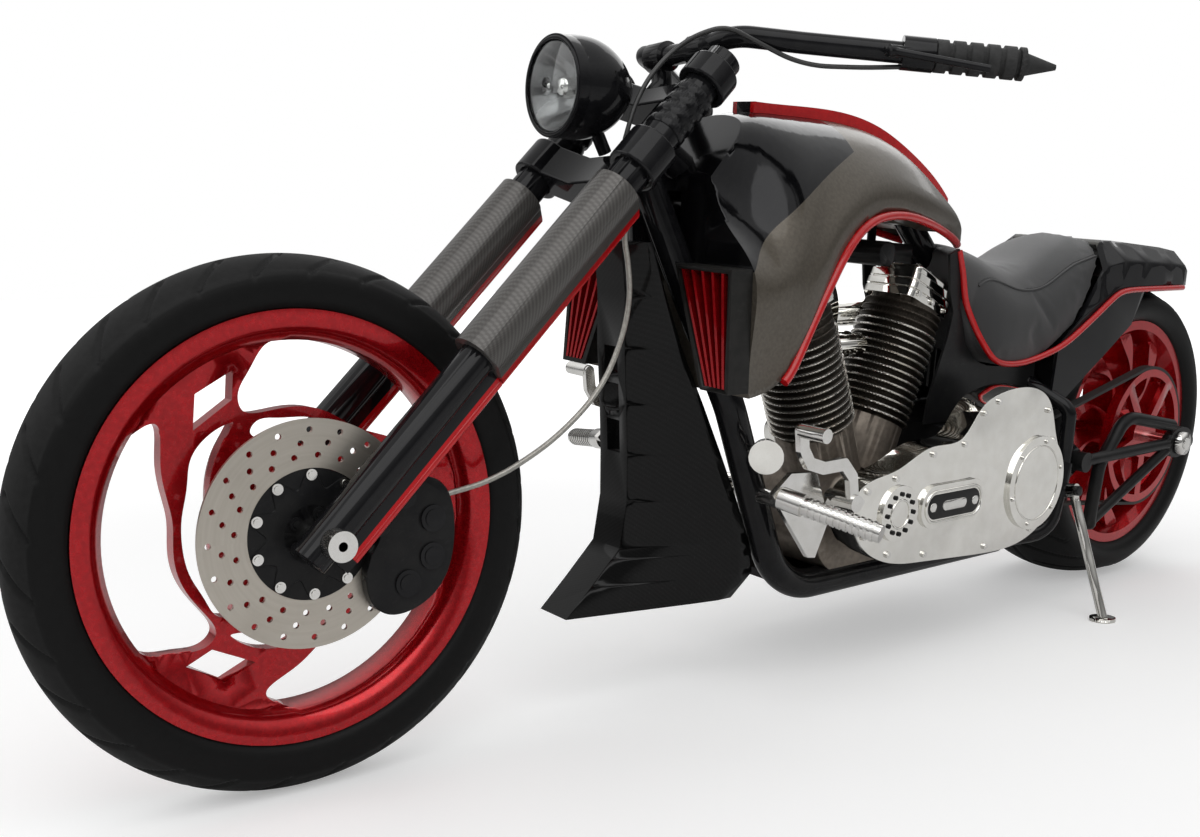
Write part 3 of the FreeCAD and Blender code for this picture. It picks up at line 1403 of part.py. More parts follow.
def exhaust():
    pipes = []
    for side, z, lead in ((-1, lower_pipe_z, pipe_lead_front), (1, upper_pipe_z, pipe_lead_rear)):
        axis = cylinder_axis(side)
        port = crank_point().add(axis * (cylinder_base + fins * fin_pitch + head_height * 0.5))
        start = port.add(at(0, fin_radius + seat_gap, 0))
        points = [start, at(start.x + side * seat_gap, exhaust_y * 0.9, start.z - pipe_radius),
                  at(start.x + lead, exhaust_y, z + pipe_radius * 3), at(start.x + lead + pipe_radius * 5, exhaust_y, z),
                  at(muffler_start_x + cover_step, exhaust_y, z)]
        pipe = bent_tube(points, pipe_radius)
        body = rod(at(muffler_start_x, exhaust_y, z), at(muffler_end_x, exhaust_y, z), muffler_radius)
        cavity = rod(at(muffler_start_x + muffler_radius * 2, exhaust_y, z), at(muffler_end_x, exhaust_y, z), pipe_bore)
        pipes.append(pipe.fuse(body).cut(cavity).removeSplitter())
    return Part.makeCompound(pipes)


pipe_lead_front = -20.0
pipe_lead_rear = 10.0


# Controls, lamp wiring and small assemblies
# Foot controls: places are measured from the root of each peg
peg_radius = 14.0
peg_root_radius = 18.0
peg_root_length = 34.0
peg_length = 162.0
peg_sweep = 58.0
peg_drop = 30.0
left_peg_x = 732.0
left_peg_z = 342.0
right_peg_x = 700.0
right_peg_z = 366.0
peg_inner_y = 196.0
bracket_thickness = 9.0
control_plate_size = 125.0
control_plate_shares = [(-0.20, 0.06), (0.12, 0.30), (0.60, 0.27), (0.90, -0.40), (0.69, -0.86), (0.55, -0.84)]
lever_width = 20.0
lever_thickness = 10.0
lever_y = 230.0
lever_shares = [(0.96, -0.10), (0.89, 0.24), (0.70, 0.43), (0.31, 0.42), (0.06, 0.50), (-0.07, 0.68), (-0.11, 0.92)]
toe_peg_length = 45.0


def foot_post(side, grow=0):
    # Stands the controls' plate off the down tube
    z = (left_peg_z if side < 0 else right_peg_z) - peg_radius
    x = down_tube_place(z)
    return rod(at(x, side * down_tube_y, z), at(x, side * (peg_inner_y - bracket_thickness / 2), z),
               peg_radius * 0.9 + grow)


def peg_line(side):
    # Root and tip of a peg, swept back and down a little
    x, z = (left_peg_x, left_peg_z) if side < 0 else (right_peg_x, right_peg_z)
    root = at(x, side * peg_inner_y, z)
    along = unit(at(peg_sweep, side * peg_length, -peg_drop))
    return root, along


def link_y(start, end, radius, low, high):
    # A flat bar with round ends between two places
    along = unit(at(end[0] - start[0], 0, end[1] - start[1])) * radius
    outline = [(start[0] - along.z, start[1] + along.x), (start[0] + along.z, start[1] - along.x),
               (end[0] + along.z, end[1] - along.x), (end[0] - along.z, end[1] + along.x)]
    return [slab_y(outline, low, high), ring_y(start, low, high, radius), ring_y(end, low, high, radius)]


def foot_controls():
    solids = []
    for side in (-1, 1):
        root, along = peg_line(side)
        spot = (root.x, root.z)
        face = side * peg_inner_y
        low, high = sorted((face, face - side * bracket_thickness))
        plate = slab_y(spread(control_plate_shares, spot, (control_plate_size, control_plate_size)), low, high)
        peg = rod(root.sub(along * (bracket_thickness * 0.5)), root.add(along * peg_length), peg_radius)
        collar = rod(root.sub(along * (bracket_thickness * 0.5)), root.add(along * peg_root_length), peg_root_radius)
        places = spread(lever_shares, spot, (control_plate_size, control_plate_size))
        lever_low, lever_high = sorted((side * lever_y, side * (lever_y + lever_thickness)))
        parts = [plate, peg, collar]
        for start, end in zip(places, places[1:]):
            parts += link_y(start, end, lever_width / 2, lever_low, lever_high)
        toe_x, toe_z = places[-1]
        toe_tip = side * (lever_y + lever_thickness + toe_peg_length)
        parts.append(rod(at(toe_x, side * (lever_y + lever_thickness / 2), toe_z), at(toe_x, toe_tip, toe_z),
                         peg_radius * 0.8))
        arm_end = spread([control_plate_shares[3]], spot, (control_plate_size, control_plate_size))[0]
        parts += link_y((arm_end[0] - lever_width, arm_end[1]), places[0], lever_width * 0.6, low, high)
        pivot_x, pivot_z = places[0]
        reach = side * (lever_y + lever_thickness + bracket_thickness * 0.5)
        parts.append(rod(at(pivot_x, face - side * bracket_thickness, pivot_z), at(pivot_x, reach, pivot_z), peg_radius))
        parts.append(foot_post(side).cut(down_tube(side, seat_gap)))
        solids.append(joined(parts))
    return Part.makeCompound(solids)


horn_x = 732.0
horn_y = -152.0
horn_z = 407.0
horn_radius = 27.0
horn_depth = 30.0


def horn():
    # A round trumpet horn that faces forward and outward.
    facing = unit(at(-1, -1, 0))
    spot = at(horn_x, horn_y, horn_z)
    body = rod(spot, spot.add(facing * horn_depth), horn_radius * 0.8)
    bell = Part.makeCone(horn_radius * 0.8, horn_radius, horn_depth * 0.4, spot.add(facing * horn_depth), facing)
    post = rod(at(down_tube_place(spot.z), -down_tube_y, spot.z), at(spot.x - horn_depth * 0.3, spot.y, spot.z),
               horn_radius * 0.25).cut(down_tube(-1, seat_gap))
    return joined([body, bell, post])


coil_x = 1088.0
coil_z = 710.0
coil_length = 96.0


def ignition_coil():
    block = box(at(coil_x, engine_y - rocker_width * 0.3, coil_z - horn_depth / 2),
                at(coil_x + coil_length, engine_y + rocker_width * 0.2, coil_z + horn_depth / 2))
    cap = ring_y((coil_x - horn_radius * 0.6, coil_z), engine_y - rocker_width * 0.6, engine_y + rocker_width * 0.2,
                 horn_radius * 0.8)
    spot = coil_x + coil_length / 2
    hanger = rod(at(spot, 0, coil_z), at(spot, 0, backbone_z), coil_hanger_radius).cut(backbone(seat_gap))
    return joined([block, cap, hanger])


coil_hanger_radius = 8.0
rear_caliper_angle = 150.0


def rear_caliper():
    outline = [polar(rear_centre, disc_radius * r, rear_caliper_angle + a) for r, a in rear_caliper_shares]
    y = rear_disc_offset
    body = smooth_slab_y(outline, y - caliper_half_width, y + caliper_half_width)
    slot = ring_y(rear_centre, y - disc_thickness / 2 - caliper_gap, y + disc_thickness / 2 + caliper_gap,
                  disc_radius + caliper_gap)
    body = body.cut(slot)
    top = polar(rear_centre, disc_radius * 1.05, rear_caliper_angle)
    lug = rod(at(top[0], y + caliper_half_width - cut_overrun, top[1]), at(top[0], arm_inner_y, top[1]), arm_radius)
    return body.fuse(lug).removeSplitter()


rear_disc_offset = 146.0
rear_caliper_shares = [(0.62, -22.0), (1.05, -26.0), (1.22, -10.0), (1.22, 10.0), (1.05, 26.0), (0.62, 22.0)]


# Side stand
stand_pivot_x = 1558.0
stand_pivot_y = -207.0
stand_pivot_z = 262.0
stand_eye_radius = 14.0
stand_eye_half = 8.0
stand_pin_radius = 6.0
stand_lug_length = 30.0
stand_foot_x = 1556.0
stand_foot_y = -300.0
stand_radius = 9.0
stand_pad_radius = 24.0
stand_pad_thickness = 7.0
stand_axis_tilt = 10.0
stand_fold = 85.0


def stand_pivot():
    return at(stand_pivot_x, stand_pivot_y, stand_pivot_z)


def stand_axis():
    # Turning about this axis folds the leg rearward
    tilt = math.radians(stand_axis_tilt)
    return at(0, -math.cos(tilt), math.sin(tilt))


def stand_floor():
    # Height of the floor under the foot, before the lean; wide tyres roll a little onto their crowns
    lean = math.radians(lean_angle)
    roll = rear_crown_radius * (1 - math.cos(lean))
    return -stand_foot_y * math.tan(lean) - roll / math.cos(lean)


def side_stand():
    pivot = stand_pivot()
    floor_up = unit(at(0, math.sin(math.radians(lean_angle)), math.cos(math.radians(lean_angle))))
    foot = at(stand_foot_x, stand_foot_y, stand_floor())
    top = foot.add(floor_up * stand_pad_thickness)
    leg = rod(pivot, top, stand_radius)
    pad = Part.makeCylinder(stand_pad_radius, stand_pad_thickness, foot, floor_up)
    axis = stand_axis()
    eye = rod(pivot.sub(axis * stand_eye_half), pivot.add(axis * stand_eye_half), stand_eye_radius)
    clearance = stand_eye_radius + stand_pin_radius
    sides = [rod(pivot.add(axis * (way * stand_eye_half)), pivot.add(axis * (way * stand_lug_length)), clearance)
             for way in (-1, 1)]
    pin_hole = rod(pivot.sub(axis * stand_lug_length), pivot.add(axis * stand_lug_length),
                   stand_pin_radius + running_clearance)
    return joined([leg.cut(Part.makeCompound(sides)), pad, eye]).cut(pin_hole)


# Parking: steer, lean and stand on the floor


def steered(shape):
    shape.rotate(on_fork(0, 0, fork_offset), fork_up, parked_steer_angle)
    return shape


def leaned(shape):
    shape.rotate(at(0, 0, 0), at(1, 0, 0), lean_angle)
    return shape


def build():
    root = {
        "main_frame": main_frame(),
        "swingarm": swingarm(),
        "rear_axle": rear_axle(),
        "chin_fairing": chin_fairing(),
        "side_scoops": side_scoops(),
        "scoop_louvres": scoop_louvres(),
        "fuel_tank": fuel_tank(),
        "tank_spine": tank_spine(),
        "seat": seat(),
        "side_covers": side_covers(),
        "body_trim": body_trim(),
        "rear_fender": rear_fender(),
        "oil_tank": oil_tank(),
        "crankcase": crankcase(),
        "cylinders": cylinders(),
        "rocker_boxes": rocker_boxes(),
        "primary_cover": primary_cover(),
        "transmission": transmission(),
        "cam_cover": cam_cover(),
        "air_cleaner": air_cleaner(),
        "exhaust": exhaust(),
        "foot_controls": foot_controls(),
        "horn": horn(),
        "ignition_coil": ignition_coil(),
        "drive_belt": drive_belt(),
        "rear_caliper": rear_caliper(),
    }
    steering = {
        "fork_lowers": fork_lowers(),
        "fork_sleeves": fork_sleeves(),
        "fork_tubes": fork_tubes(),
        "lower_clamp": lower_clamp(),
        "upper_clamp": clamp(upper_clamp_start, upper_clamp_end),
        "handlebar": handlebar(),
        "grips": grips(),
        "hand_controls": hand_controls(),
        "headlight_shell": headlight_shell(),
        "headlight_lens": headlight_lens(),
        "front_axle": front_axle(),
        "front_caliper": front_caliper(),
        "brake_hose": brake_hose(),
        "handlebar_cables": handlebar_cables(),
    }
    front_wheel = {
        "front_tyre": tyre(front_centre, front_tyre_radius, front_tyre_half_width, front_crown_radius,
                           front_flange_radius, front_bead_radius, front_rim_half_width),
        "front_rim": front_rim(),
        "front_disc": brake_disc(front_centre, -front_disc_offset),
        "front_disc_carrier": front_disc_carrier(),
    }
    rear_wheel = {
        "rear_tyre": tyre(rear_centre, rear_tyre_radius, rear_tyre_half_width, rear_crown_radius,
                          rear_flange_radius, rear_bead_radius, rear_rim_half_width),
        "rear_rim": rear_rim(),
        "rear_pulley": rear_pulley(),
        "rear_disc": brake_disc(rear_centre, rear_disc_offset),
    }
    stand = {"side_stand": side_stand()}
    for group in (steering, front_wheel):
        for name in group:
            group[name] = steered(group[name])
    return {"frame": root, "steering": steering, "front_wheel": front_wheel, "rear_wheel": rear_wheel,
            "side_stand": stand}


def main():
    os.makedirs("parts", exist_ok=True)
    bodies = build()
    shapes = {}
    for group in bodies.values():
        for name, shape in group.items():
            shapes[name] = leaned(shape)
    bounds = Part.makeCompound(list(shapes.values())).optimalBoundingBox(False, False)
    centre = at((bounds.XMin + bounds.XMax) / 2, (bounds.YMin + bounds.YMax) / 2, bounds.ZMin)
    for name, shape in shapes.items():
        shape.translate(centre * -1)
        shape.exportStep("parts/" + name + ".step")
        print(name, "solids", len(shape.Solids), "valid", shape.isValid())


if __name__ == "__main__":
    main()
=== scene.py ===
import bmesh
import bpy
import json
import math
from mathutils import Matrix, Vector
from mathutils.bvhtree import BVHTree


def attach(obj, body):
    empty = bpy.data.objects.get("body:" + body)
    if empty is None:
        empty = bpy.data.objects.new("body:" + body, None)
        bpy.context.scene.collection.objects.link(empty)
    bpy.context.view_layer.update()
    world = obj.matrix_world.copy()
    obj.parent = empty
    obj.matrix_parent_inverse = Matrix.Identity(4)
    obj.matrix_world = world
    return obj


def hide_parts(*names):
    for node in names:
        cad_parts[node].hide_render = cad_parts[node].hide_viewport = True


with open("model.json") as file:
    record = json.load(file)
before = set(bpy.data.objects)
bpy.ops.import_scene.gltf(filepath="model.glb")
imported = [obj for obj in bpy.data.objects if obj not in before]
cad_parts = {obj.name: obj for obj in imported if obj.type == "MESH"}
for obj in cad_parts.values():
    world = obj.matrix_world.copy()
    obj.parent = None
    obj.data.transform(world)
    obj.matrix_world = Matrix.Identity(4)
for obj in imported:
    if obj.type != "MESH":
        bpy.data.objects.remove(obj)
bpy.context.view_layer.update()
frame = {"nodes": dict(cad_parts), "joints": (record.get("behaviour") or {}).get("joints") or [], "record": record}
nodes = frame["nodes"]
joints = {joint["name"]: joint for joint in frame["joints"]}
print("frame loaded with", len(nodes), "nodes")

# How the bike stands: upright sizes in millimetres, X rearward from the front axle
bike = {"wheelbase": 1920.0, "frontAxleHeight": 350.7, "rearAxleHeight": 328.6, "rake": 45.0,
        "forkOffset": 55.0, "parkedSteer": -6.6, "lean": 5.0}
rearHub = Vector(joints["rear_wheel_spin"]["pos_m"])
leanTurn = Matrix.Rotation(math.radians(bike["lean"]), 3, "X")
rake = math.radians(bike["rake"])
forkUp = Vector((math.sin(rake), 0, math.cos(rake)))
forkBack = Vector((math.cos(rake), 0, -math.sin(rake)))
steerTurn = Matrix.Rotation(math.radians(bike["parkedSteer"]), 3, forkUp)


def onBike(x, y, z):
    upright = Vector((x - bike["wheelbase"], y, z - bike["rearAxleHeight"])) / 1000
    return rearHub + leanTurn @ upright


def straightFork(distance, side, back=0.0):
    return Vector((0, side, bike["frontAxleHeight"])) + forkUp * distance + forkBack * back


steerPivot = straightFork(0, 0, bike["forkOffset"])


def steered(x, y, z):
    turned = steerPivot + steerTurn @ (Vector((x, y, z)) - steerPivot)
    return onBike(*turned)


def onFork(distance, side, back=0.0):
    return steered(*straightFork(distance, side, back))


def onWheel(wheel, x, side, z):
    # A place given by its distances from the wheel's axle
    if wheel == "front":
        return steered(x, side, bike["frontAxleHeight"] + z)
    return onBike(bike["wheelbase"] + x, side, bike["rearAxleHeight"] + z)


def outBike(x, y, z):
    # A direction of the upright bike in the row frame
    return leanTurn @ Vector((x, y, z))


forkLeft = leanTurn @ (steerTurn @ Vector((0, -1, 0)))


def addObject(name, data):
    made = bpy.data.objects.new(name, data)
    bpy.context.scene.collection.objects.link(made)
    return made


# Camera from the left front, low, as in the photograph
camera = {"fromRearHub": (-2.6906, -1.5605, 0.3519), "heading": 39.78, "pitch": 6.52, "roll": -0.33,
          "lens": 39.61, "sensor": 36}


def makeCamera():
    heading, pitch, roll = (math.radians(camera[key]) for key in ("heading", "pitch", "roll"))
    ahead = Vector((math.sin(heading) * math.cos(pitch), math.cos(heading) * math.cos(pitch),
                    -math.sin(pitch)))
    right = Vector((math.cos(heading), -math.sin(heading), 0))
    down = ahead.cross(right)
    rollTurn = Matrix(((math.cos(roll), -math.sin(roll), 0), (math.sin(roll), math.cos(roll), 0), (0, 0, 1)))
    axes = rollTurn @ Matrix((right, down, ahead))
    turn = Matrix((axes[0], -axes[1], -axes[2])).transposed().to_4x4()
    turn.translation = rearHub + Vector(camera["fromRearHub"])
    data = bpy.data.cameras.new("viewCamera")
    data.lens = camera["lens"]
    data.sensor_width = camera["sensor"]
    made = addObject("viewCamera", data)
    made.matrix_world = turn
    bpy.context.scene.camera = made


makeCamera()
bpy.context.scene.view_settings.view_transform = "Standard"


# Small helpers for node trees
def addNode(tree, kind, values=None, **settings):
    made = tree.nodes.new(kind)
    for key, value in settings.items():
        setattr(made, key, value)
    for key, value in (values or {}).items():
        made.inputs[key].default_value = value
    return made


def feed(socket, part):
    if hasattr(part, "links"):
        socket.id_data.links.new(part, socket)
    else:
        socket.default_value = part


def combined(kind, inputs, parts, result=0, **settings):
    # A node in the first socket's tree; its inputs take the parts, each a socket or a value
    tree = next(part.id_data for part in parts if hasattr(part, "links"))
    made = addNode(tree, kind, **settings)
    for key, part in zip(inputs, parts):
        feed(made.inputs[key], part)
    return made.outputs[result]


def calc(operation, *parts, clamp=False):
    return combined("ShaderNodeMath", range(3), parts, operation=operation, use_clamp=clamp)


def plus(first, second, clamp=False):
    return calc("ADD", first, second, clamp=clamp)


def minus(first, second):
    return calc("SUBTRACT", first, second)


def times(first, second):
    return calc("MULTIPLY", first, second)


def lengthOf(first, second):
    return calc("SQRT", plus(times(first, first), times(second, second)))


def stepUp(value, low, high):
    return combined("ShaderNodeMapRange", range(5), (value, low, high, 0.0, 1.0),
                    interpolation_type="SMOOTHSTEP")


def rgba(part):
    # A socket stays as it is; a colour gets its fourth value
    return part if hasattr(part, "links") else (*part, 1.0)


def blendColour(factor, low, high):
    return combined("ShaderNodeMix", (0, 6, 7), (factor, rgba(low), rgba(high)), 2, data_type="RGBA")


def blendValue(factor, low, high):
    return combined("ShaderNodeMix", (0, 2, 3), (factor, low, high), data_type="FLOAT")


def axesOf(vector):
    made = addNode(vector.id_data, "ShaderNodeSeparateXYZ")
    feed(made.inputs[0], vector)
    return made.outputs


def noiseOf(vector, scale, detail=2.0):
    return combined("ShaderNodeTexNoise", ("Vector", "Scale", "Detail"), (vector, scale, detail), "Fac")


def effectTree(name, inputs, outputs):
    # A group that takes a vector and named values, and gives heights, tones or masks
    tree = bpy.data.node_groups.new(name, "ShaderNodeTree")
    tree.interface.new_socket("Vector", in_out="INPUT", socket_type="NodeSocketVector")
    for label, value in inputs.items():
        tree.interface.new_socket(label, in_out="INPUT", socket_type="NodeSocketFloat").default_value = value
    for label in outputs:
        tree.interface.new_socket(label, in_out="OUTPUT", socket_type="NodeSocketFloat")
    return tree, tree.nodes.new("NodeGroupInput").outputs, tree.nodes.new("NodeGroupOutput").inputs


def buildGrain():
    tree, given, result = effectTree("fineGrain", {"Scale": 400.0}, ["Height", "Tone"])
    broad = noiseOf(given["Vector"], times(given["Scale"], 0.08), 3.0)
    fine = noiseOf(given["Vector"], given["Scale"])
    feed(result["Height"], fine)
    feed(result["Tone"], plus(times(broad, 0.7), times(fine, 0.3)))
    return tree


def buildWear():
    # Hairline scratches and rubbed patches
    tree, given, result = effectTree("surfaceWear", {"Scale": 12.0, "Amount": 0.3}, ["Scratches", "Patches"])
    stretched = combined("ShaderNodeMapping", ("Vector", "Rotation", "Scale"),
                         (given["Vector"], (0.3, 0.8, 0.5), (1.0, 26.0, 3.0)))
    lines = noiseOf(stretched, times(given["Scale"], 5.0), 4.0)
    feed(result["Scratches"], times(stepUp(lines, 0.60, 0.70), given["Amount"]))
    patches = noiseOf(given["Vector"], given["Scale"], 5.0)
    feed(result["Patches"], times(stepUp(patches, 0.48, 0.70), given["Amount"]))
    return tree


def buildDust():
    # Fine road dust that gathers low down
    tree, given, result = effectTree("roadDust", {"Top": 0.45, "Amount": 0.15}, ["Mask"])
    height = axesOf(given["Vector"])[2]
    low = minus(1.0, stepUp(height, 0.02, given["Top"]))
    cloud = stepUp(noiseOf(given["Vector"], 14.0, 6.0), 0.3, 0.75)
    feed(result["Mask"], times(times(low, cloud), given["Amount"]))
    return tree


def buildTwill():
    # Two-over-two carbon twill in the vector's X and Y
    tree, given, result = effectTree("carbonTwill", {"Tow": 0.004}, ["Height", "Tone"])
    across, along = axesOf(given["Vector"])[:2]
    u, v = (calc("DIVIDE", part, given["Tow"]) for part in (across, along))
    turn = calc("FLOORED_MODULO", plus(calc("FLOOR", u), calc("FLOOR", v)), 4.0)
    over = calc("LESS_THAN", turn, 1.5)
    warp, weft = (calc("SINE", times(calc("FRACT", part), math.pi)) for part in (u, v))
    height = blendValue(over, weft, warp)
    feed(result["Height"], height)
    feed(result["Tone"], plus(times(over, 0.65), times(height, 0.35)))
    return tree


def buildLeather():
    tree, given, result = effectTree("leatherGrain", {"Scale": 420.0}, ["Height", "Tone"])
    wobble = combined("ShaderNodeTexNoise", ("Vector", "Scale", "Detail"), (given["Vector"], 90.0, 2.0),
                      "Color")
    shifted = combined("ShaderNodeVectorMath", range(3), (wobble, (0.004, 0.004, 0.004), given["Vector"]),
                       operation="MULTIPLY_ADD")
    edges = combined("ShaderNodeTexVoronoi", ("Vector", "Scale"), (shifted, given["Scale"]), "Distance",
                     feature="DISTANCE_TO_EDGE")
    feed(result["Height"], stepUp(edges, 0.0, 0.16))
    feed(result["Tone"], noiseOf(given["Vector"], 16.0, 4.0))
    return tree


def buildTurned():
    # Fine rings left by a lathe or a grinding wheel about the vector's Y axis
    tree, given, result = effectTree("turnedRings", {"Scale": 900.0}, ["Height", "Tone"])
    x, y, z = axesOf(given["Vector"])
    turned = combined("ShaderNodeCombineXYZ", range(2), (lengthOf(x, z), times(calc("ARCTAN2", z, x), 0.004)))
    feed(result["Height"], noiseOf(turned, given["Scale"]))
    feed(result["Tone"], noiseOf(turned, times(given["Scale"], 0.2)))
    return tree


effects = {"grain": buildGrain(), "wear": buildWear(), "dust": buildDust(), "twill": buildTwill(),
           "leather": buildLeather(), "turned": buildTurned()}


def effect(key, vector, **values):
    made = addNode(vector.id_data, "ShaderNodeGroup", node_tree=effects[key])
    feed(made.inputs["Vector"], vector)
    for label, value in values.items():
        feed(made.inputs[label], value)
    return made.outputs


def placedCoords(tree, turn, origin):
    # Object coordinates moved so that origin is zero and the axes are the turn's rows
    coords = addNode(tree, "ShaderNodeTexCoord").outputs["Object"]
    return combined("ShaderNodeMapping", ("Vector", "Rotation", "Location"),
                    (coords, turn.to_euler("XYZ"), -(turn @ origin)))


uprightTurn = leanTurn.transposed()
steeredTurn = steerTurn.transposed() @ uprightTurn
forkTurn = Matrix((forkBack, Vector((0, 1, 0)), forkUp)) @ steeredTurn


def bikeCoords(tree):
    return placedCoords(tree, uprightTurn, onBike(0, 0, 0))


def forkCoords(tree):
    # X is back from the leg's axis, Y sideways and Z up the fork, from the front axle
    return placedCoords(tree, forkTurn, onFork(0, 0, 0))


def wheelCoords(tree, wheel):
    return placedCoords(tree, steeredTurn if wheel == "front" else uprightTurn, onWheel(wheel, 0, 0, 0))


def startMaterial(name):
    material = bpy.data.materials.new(name)
    material.use_nodes = True
    return material, material.node_tree, material.node_tree.nodes["Principled BSDF"].inputs


def addBump(sockets, height, strength, depth):
    bump = addNode(height.id_data, "ShaderNodeBump", {"Strength": strength, "Distance": depth})
    feed(bump.inputs["Height"], height)
    feed(sockets["Normal"], bump.outputs[0])
    return bump


def setShader(shader, colour, rough, constants):
    feed(shader["Base Color"], colour)
    feed(shader["Roughness"], rough)
    for label, value in constants.items():
        shader[label].default_value = value


# What a painted look has where it doesn't say otherwise
plainLook = {"grain": 500.0, "wear": 0.2, "dust": 0.06, "roughSpread": 0.25, "metal": 0.0, "coat": 0.0,
             "coatRough": 0.03, "specular": 0.5, "bump": 0.1, "depth": 0.0002, "worn": (0.07, 0.07, 0.07)}
dustColour = (0.30, 0.27, 0.23)


def paintMaterial(name, changes, pattern=None):
    # Colour mottling, hairlines, dust and a fine surface; pattern may paint other colours over it
    look = {**plainLook, **changes}
    material, tree, shader = startMaterial(name)
    coords = bikeCoords(tree)
    grain = effect("grain", coords, Scale=look["grain"])
    wear = effect("wear", coords, Scale=9.0, Amount=look["wear"])
    dust = effect("dust", coords, Amount=look["dust"])
    colour = blendColour(stepUp(grain["Tone"], 0.3, 0.7), look["colour"], look["second"])
    rough = plus(look["rough"], times(wear["Patches"], look["roughSpread"]))
    if pattern:
        colour, rough = pattern(coords, colour, rough)
    colour = blendColour(times(wear["Scratches"], 0.35), colour, look["worn"])
    colour = blendColour(dust["Mask"], colour, dustColour)
    rough = plus(rough, times(dust["Mask"], 0.5), clamp=True)
    setShader(shader, colour, rough, {
        "Metallic": look["metal"], "Coat Weight": look["coat"], "Coat Roughness": look["coatRough"],
        "Specular IOR Level": look["specular"]})
    bump = addBump(shader, grain["Height"], look["bump"], look["depth"])
    if "ripple" in look:
        # Slow waves left by hand polishing, which break up what a flat face mirrors
        addBump(bump.inputs, noiseOf(coords, look["rippleScale"], 1.0), look["ripple"], 0.02)
    return material


looks = {
    "glossBlack": {"colour": (0.006, 0.006, 0.007), "second": (0.011, 0.011, 0.012), "worn": (0.05, 0.05, 0.05),
                   "rough": 0.12, "coat": 0.32, "specular": 0.04, "bump": 0.02, "wear": 0.15, "dust": 0.03},
    "satinBlack": {"colour": (0.008, 0.008, 0.009), "second": (0.014, 0.014, 0.014),
                   "rough": 0.30, "specular": 0.16, "bump": 0.12, "wear": 0.25, "dust": 0.05},
    "scoopBlack": {"colour": (0.012, 0.012, 0.011), "second": (0.020, 0.019, 0.018),
                   "rough": 0.36, "specular": 0.2, "bump": 0.25, "grain": 900.0, "depth": 0.0004},
    "candyRed": {"colour": (0.36, 0.001, 0.005), "second": (0.50, 0.004, 0.009), "worn": (0.50, 0.06, 0.06),
                 "rough": 0.24, "metal": 0.7, "coat": 0.5, "specular": 0.3, "grain": 1800.0, "bump": 0.05,
                 "wear": 0.10, "dust": 0.02},
    "trimRed": {"colour": (0.48, 0.003, 0.006), "second": (0.58, 0.007, 0.009), "worn": (0.60, 0.10, 0.09),
                "rough": 0.22, "coat": 0.5, "specular": 0.3, "grain": 1200.0, "bump": 0.03, "wear": 0.12},
    "crankcase": {"colour": (0.17, 0.145, 0.12), "second": (0.25, 0.215, 0.18), "worn": (0.42, 0.40, 0.37),
                  "rough": 0.46, "metal": 0.75, "grain": 1300.0, "bump": 0.45, "depth": 0.0004, "wear": 0.45},
    "chrome": {"colour": (0.78, 0.765, 0.72), "second": (0.85, 0.84, 0.80), "worn": (0.62, 0.61, 0.60),
               "rough": 0.05, "metal": 1.0, "bump": 0.015, "wear": 0.22, "roughSpread": 0.12, "dust": 0.03,
               "ripple": 0.75, "rippleScale": 8.0},
    "polished": {"colour": (0.70, 0.69, 0.66), "second": (0.78, 0.77, 0.75), "worn": (0.50, 0.49, 0.47),
                 "rough": 0.14, "metal": 1.0, "bump": 0.06, "wear": 0.35, "dust": 0.05, "ripple": 0.25,
                 "rippleScale": 14.0},
    "belt": {"colour": (0.012, 0.012, 0.012), "second": (0.022, 0.021, 0.020),
             "rough": 0.62, "bump": 0.5, "grain": 1500.0, "dust": 0.2},
    "foam": {"colour": (0.012, 0.012, 0.012), "second": (0.024, 0.024, 0.024), "worn": (0.06, 0.06, 0.06),
             "rough": 0.70, "bump": 0.8, "grain": 1400.0, "depth": 0.0008},
    "braid": {"colour": (0.30, 0.29, 0.26), "second": (0.42, 0.41, 0.37), "worn": (0.16, 0.15, 0.13),
              "rough": 0.30, "metal": 0.6, "coat": 0.7, "bump": 0.6, "grain": 2400.0, "depth": 0.0004},
    "smoked": {"colour": (0.13, 0.13, 0.13), "second": (0.20, 0.20, 0.20), "worn": (0.3, 0.3, 0.3),
               "rough": 0.12, "metal": 1.0, "bump": 0.02, "wear": 0.1},
    "sheath": {"colour": (0.02, 0.02, 0.02), "second": (0.035, 0.035, 0.034),
               "rough": 0.42, "bump": 0.2},
}
tankLook = {"colour": (0.092, 0.080, 0.064), "second": (0.120, 0.105, 0.085), "worn": (0.20, 0.20, 0.18),
            "rough": 0.33, "metal": 0.45, "coat": 0.30, "specular": 0.15, "coatRough": 0.10, "grain": 2200.0,
            "bump": 0.04, "wear": 0.12}

# The black lobe's edge on the tank is a bent line through (x, z), in metres of the upright bike
tankLobe = {"x": 0.765, "z": 0.787, "slope": 0.669, "bend": -0.86, "back": 0.936, "rough": 0.10}
# Half widths of the spine's middle strip and of the tail's painted highlight strip, and the highlight strip's
# lowest height
strips = {"spine": 0.0155, "tail": 0.0985, "tailHighlightFoot": 0.690, "tailPaintedHighlight": (0.085, 0.084, 0.076)}
deepBlack = (0.006, 0.006, 0.007)


def tankPattern(coords, colour, rough):
    # Gloss black lobe in front of a line that climbs to the top, bronze grey flake behind it
    x, y, z = axesOf(coords)
    ahead = minus(x, tankLobe["x"])
    line = plus(plus(tankLobe["z"], times(ahead, tankLobe["slope"])),
                times(times(ahead, ahead), tankLobe["bend"]))
    above = stepUp(minus(z, line), -0.0008, 0.0008)
    mask = times(above, stepUp(x, tankLobe["back"], tankLobe["back"] - 0.002))
    return blendColour(mask, colour, deepBlack), blendValue(mask, rough, tankLobe["rough"])


def spinePattern(coords, colour, rough):
    side = calc("ABSOLUTE", axesOf(coords)[1])
    inside = stepUp(side, strips["spine"], strips["spine"] - 0.001)
    return blendColour(inside, colour, deepBlack), rough


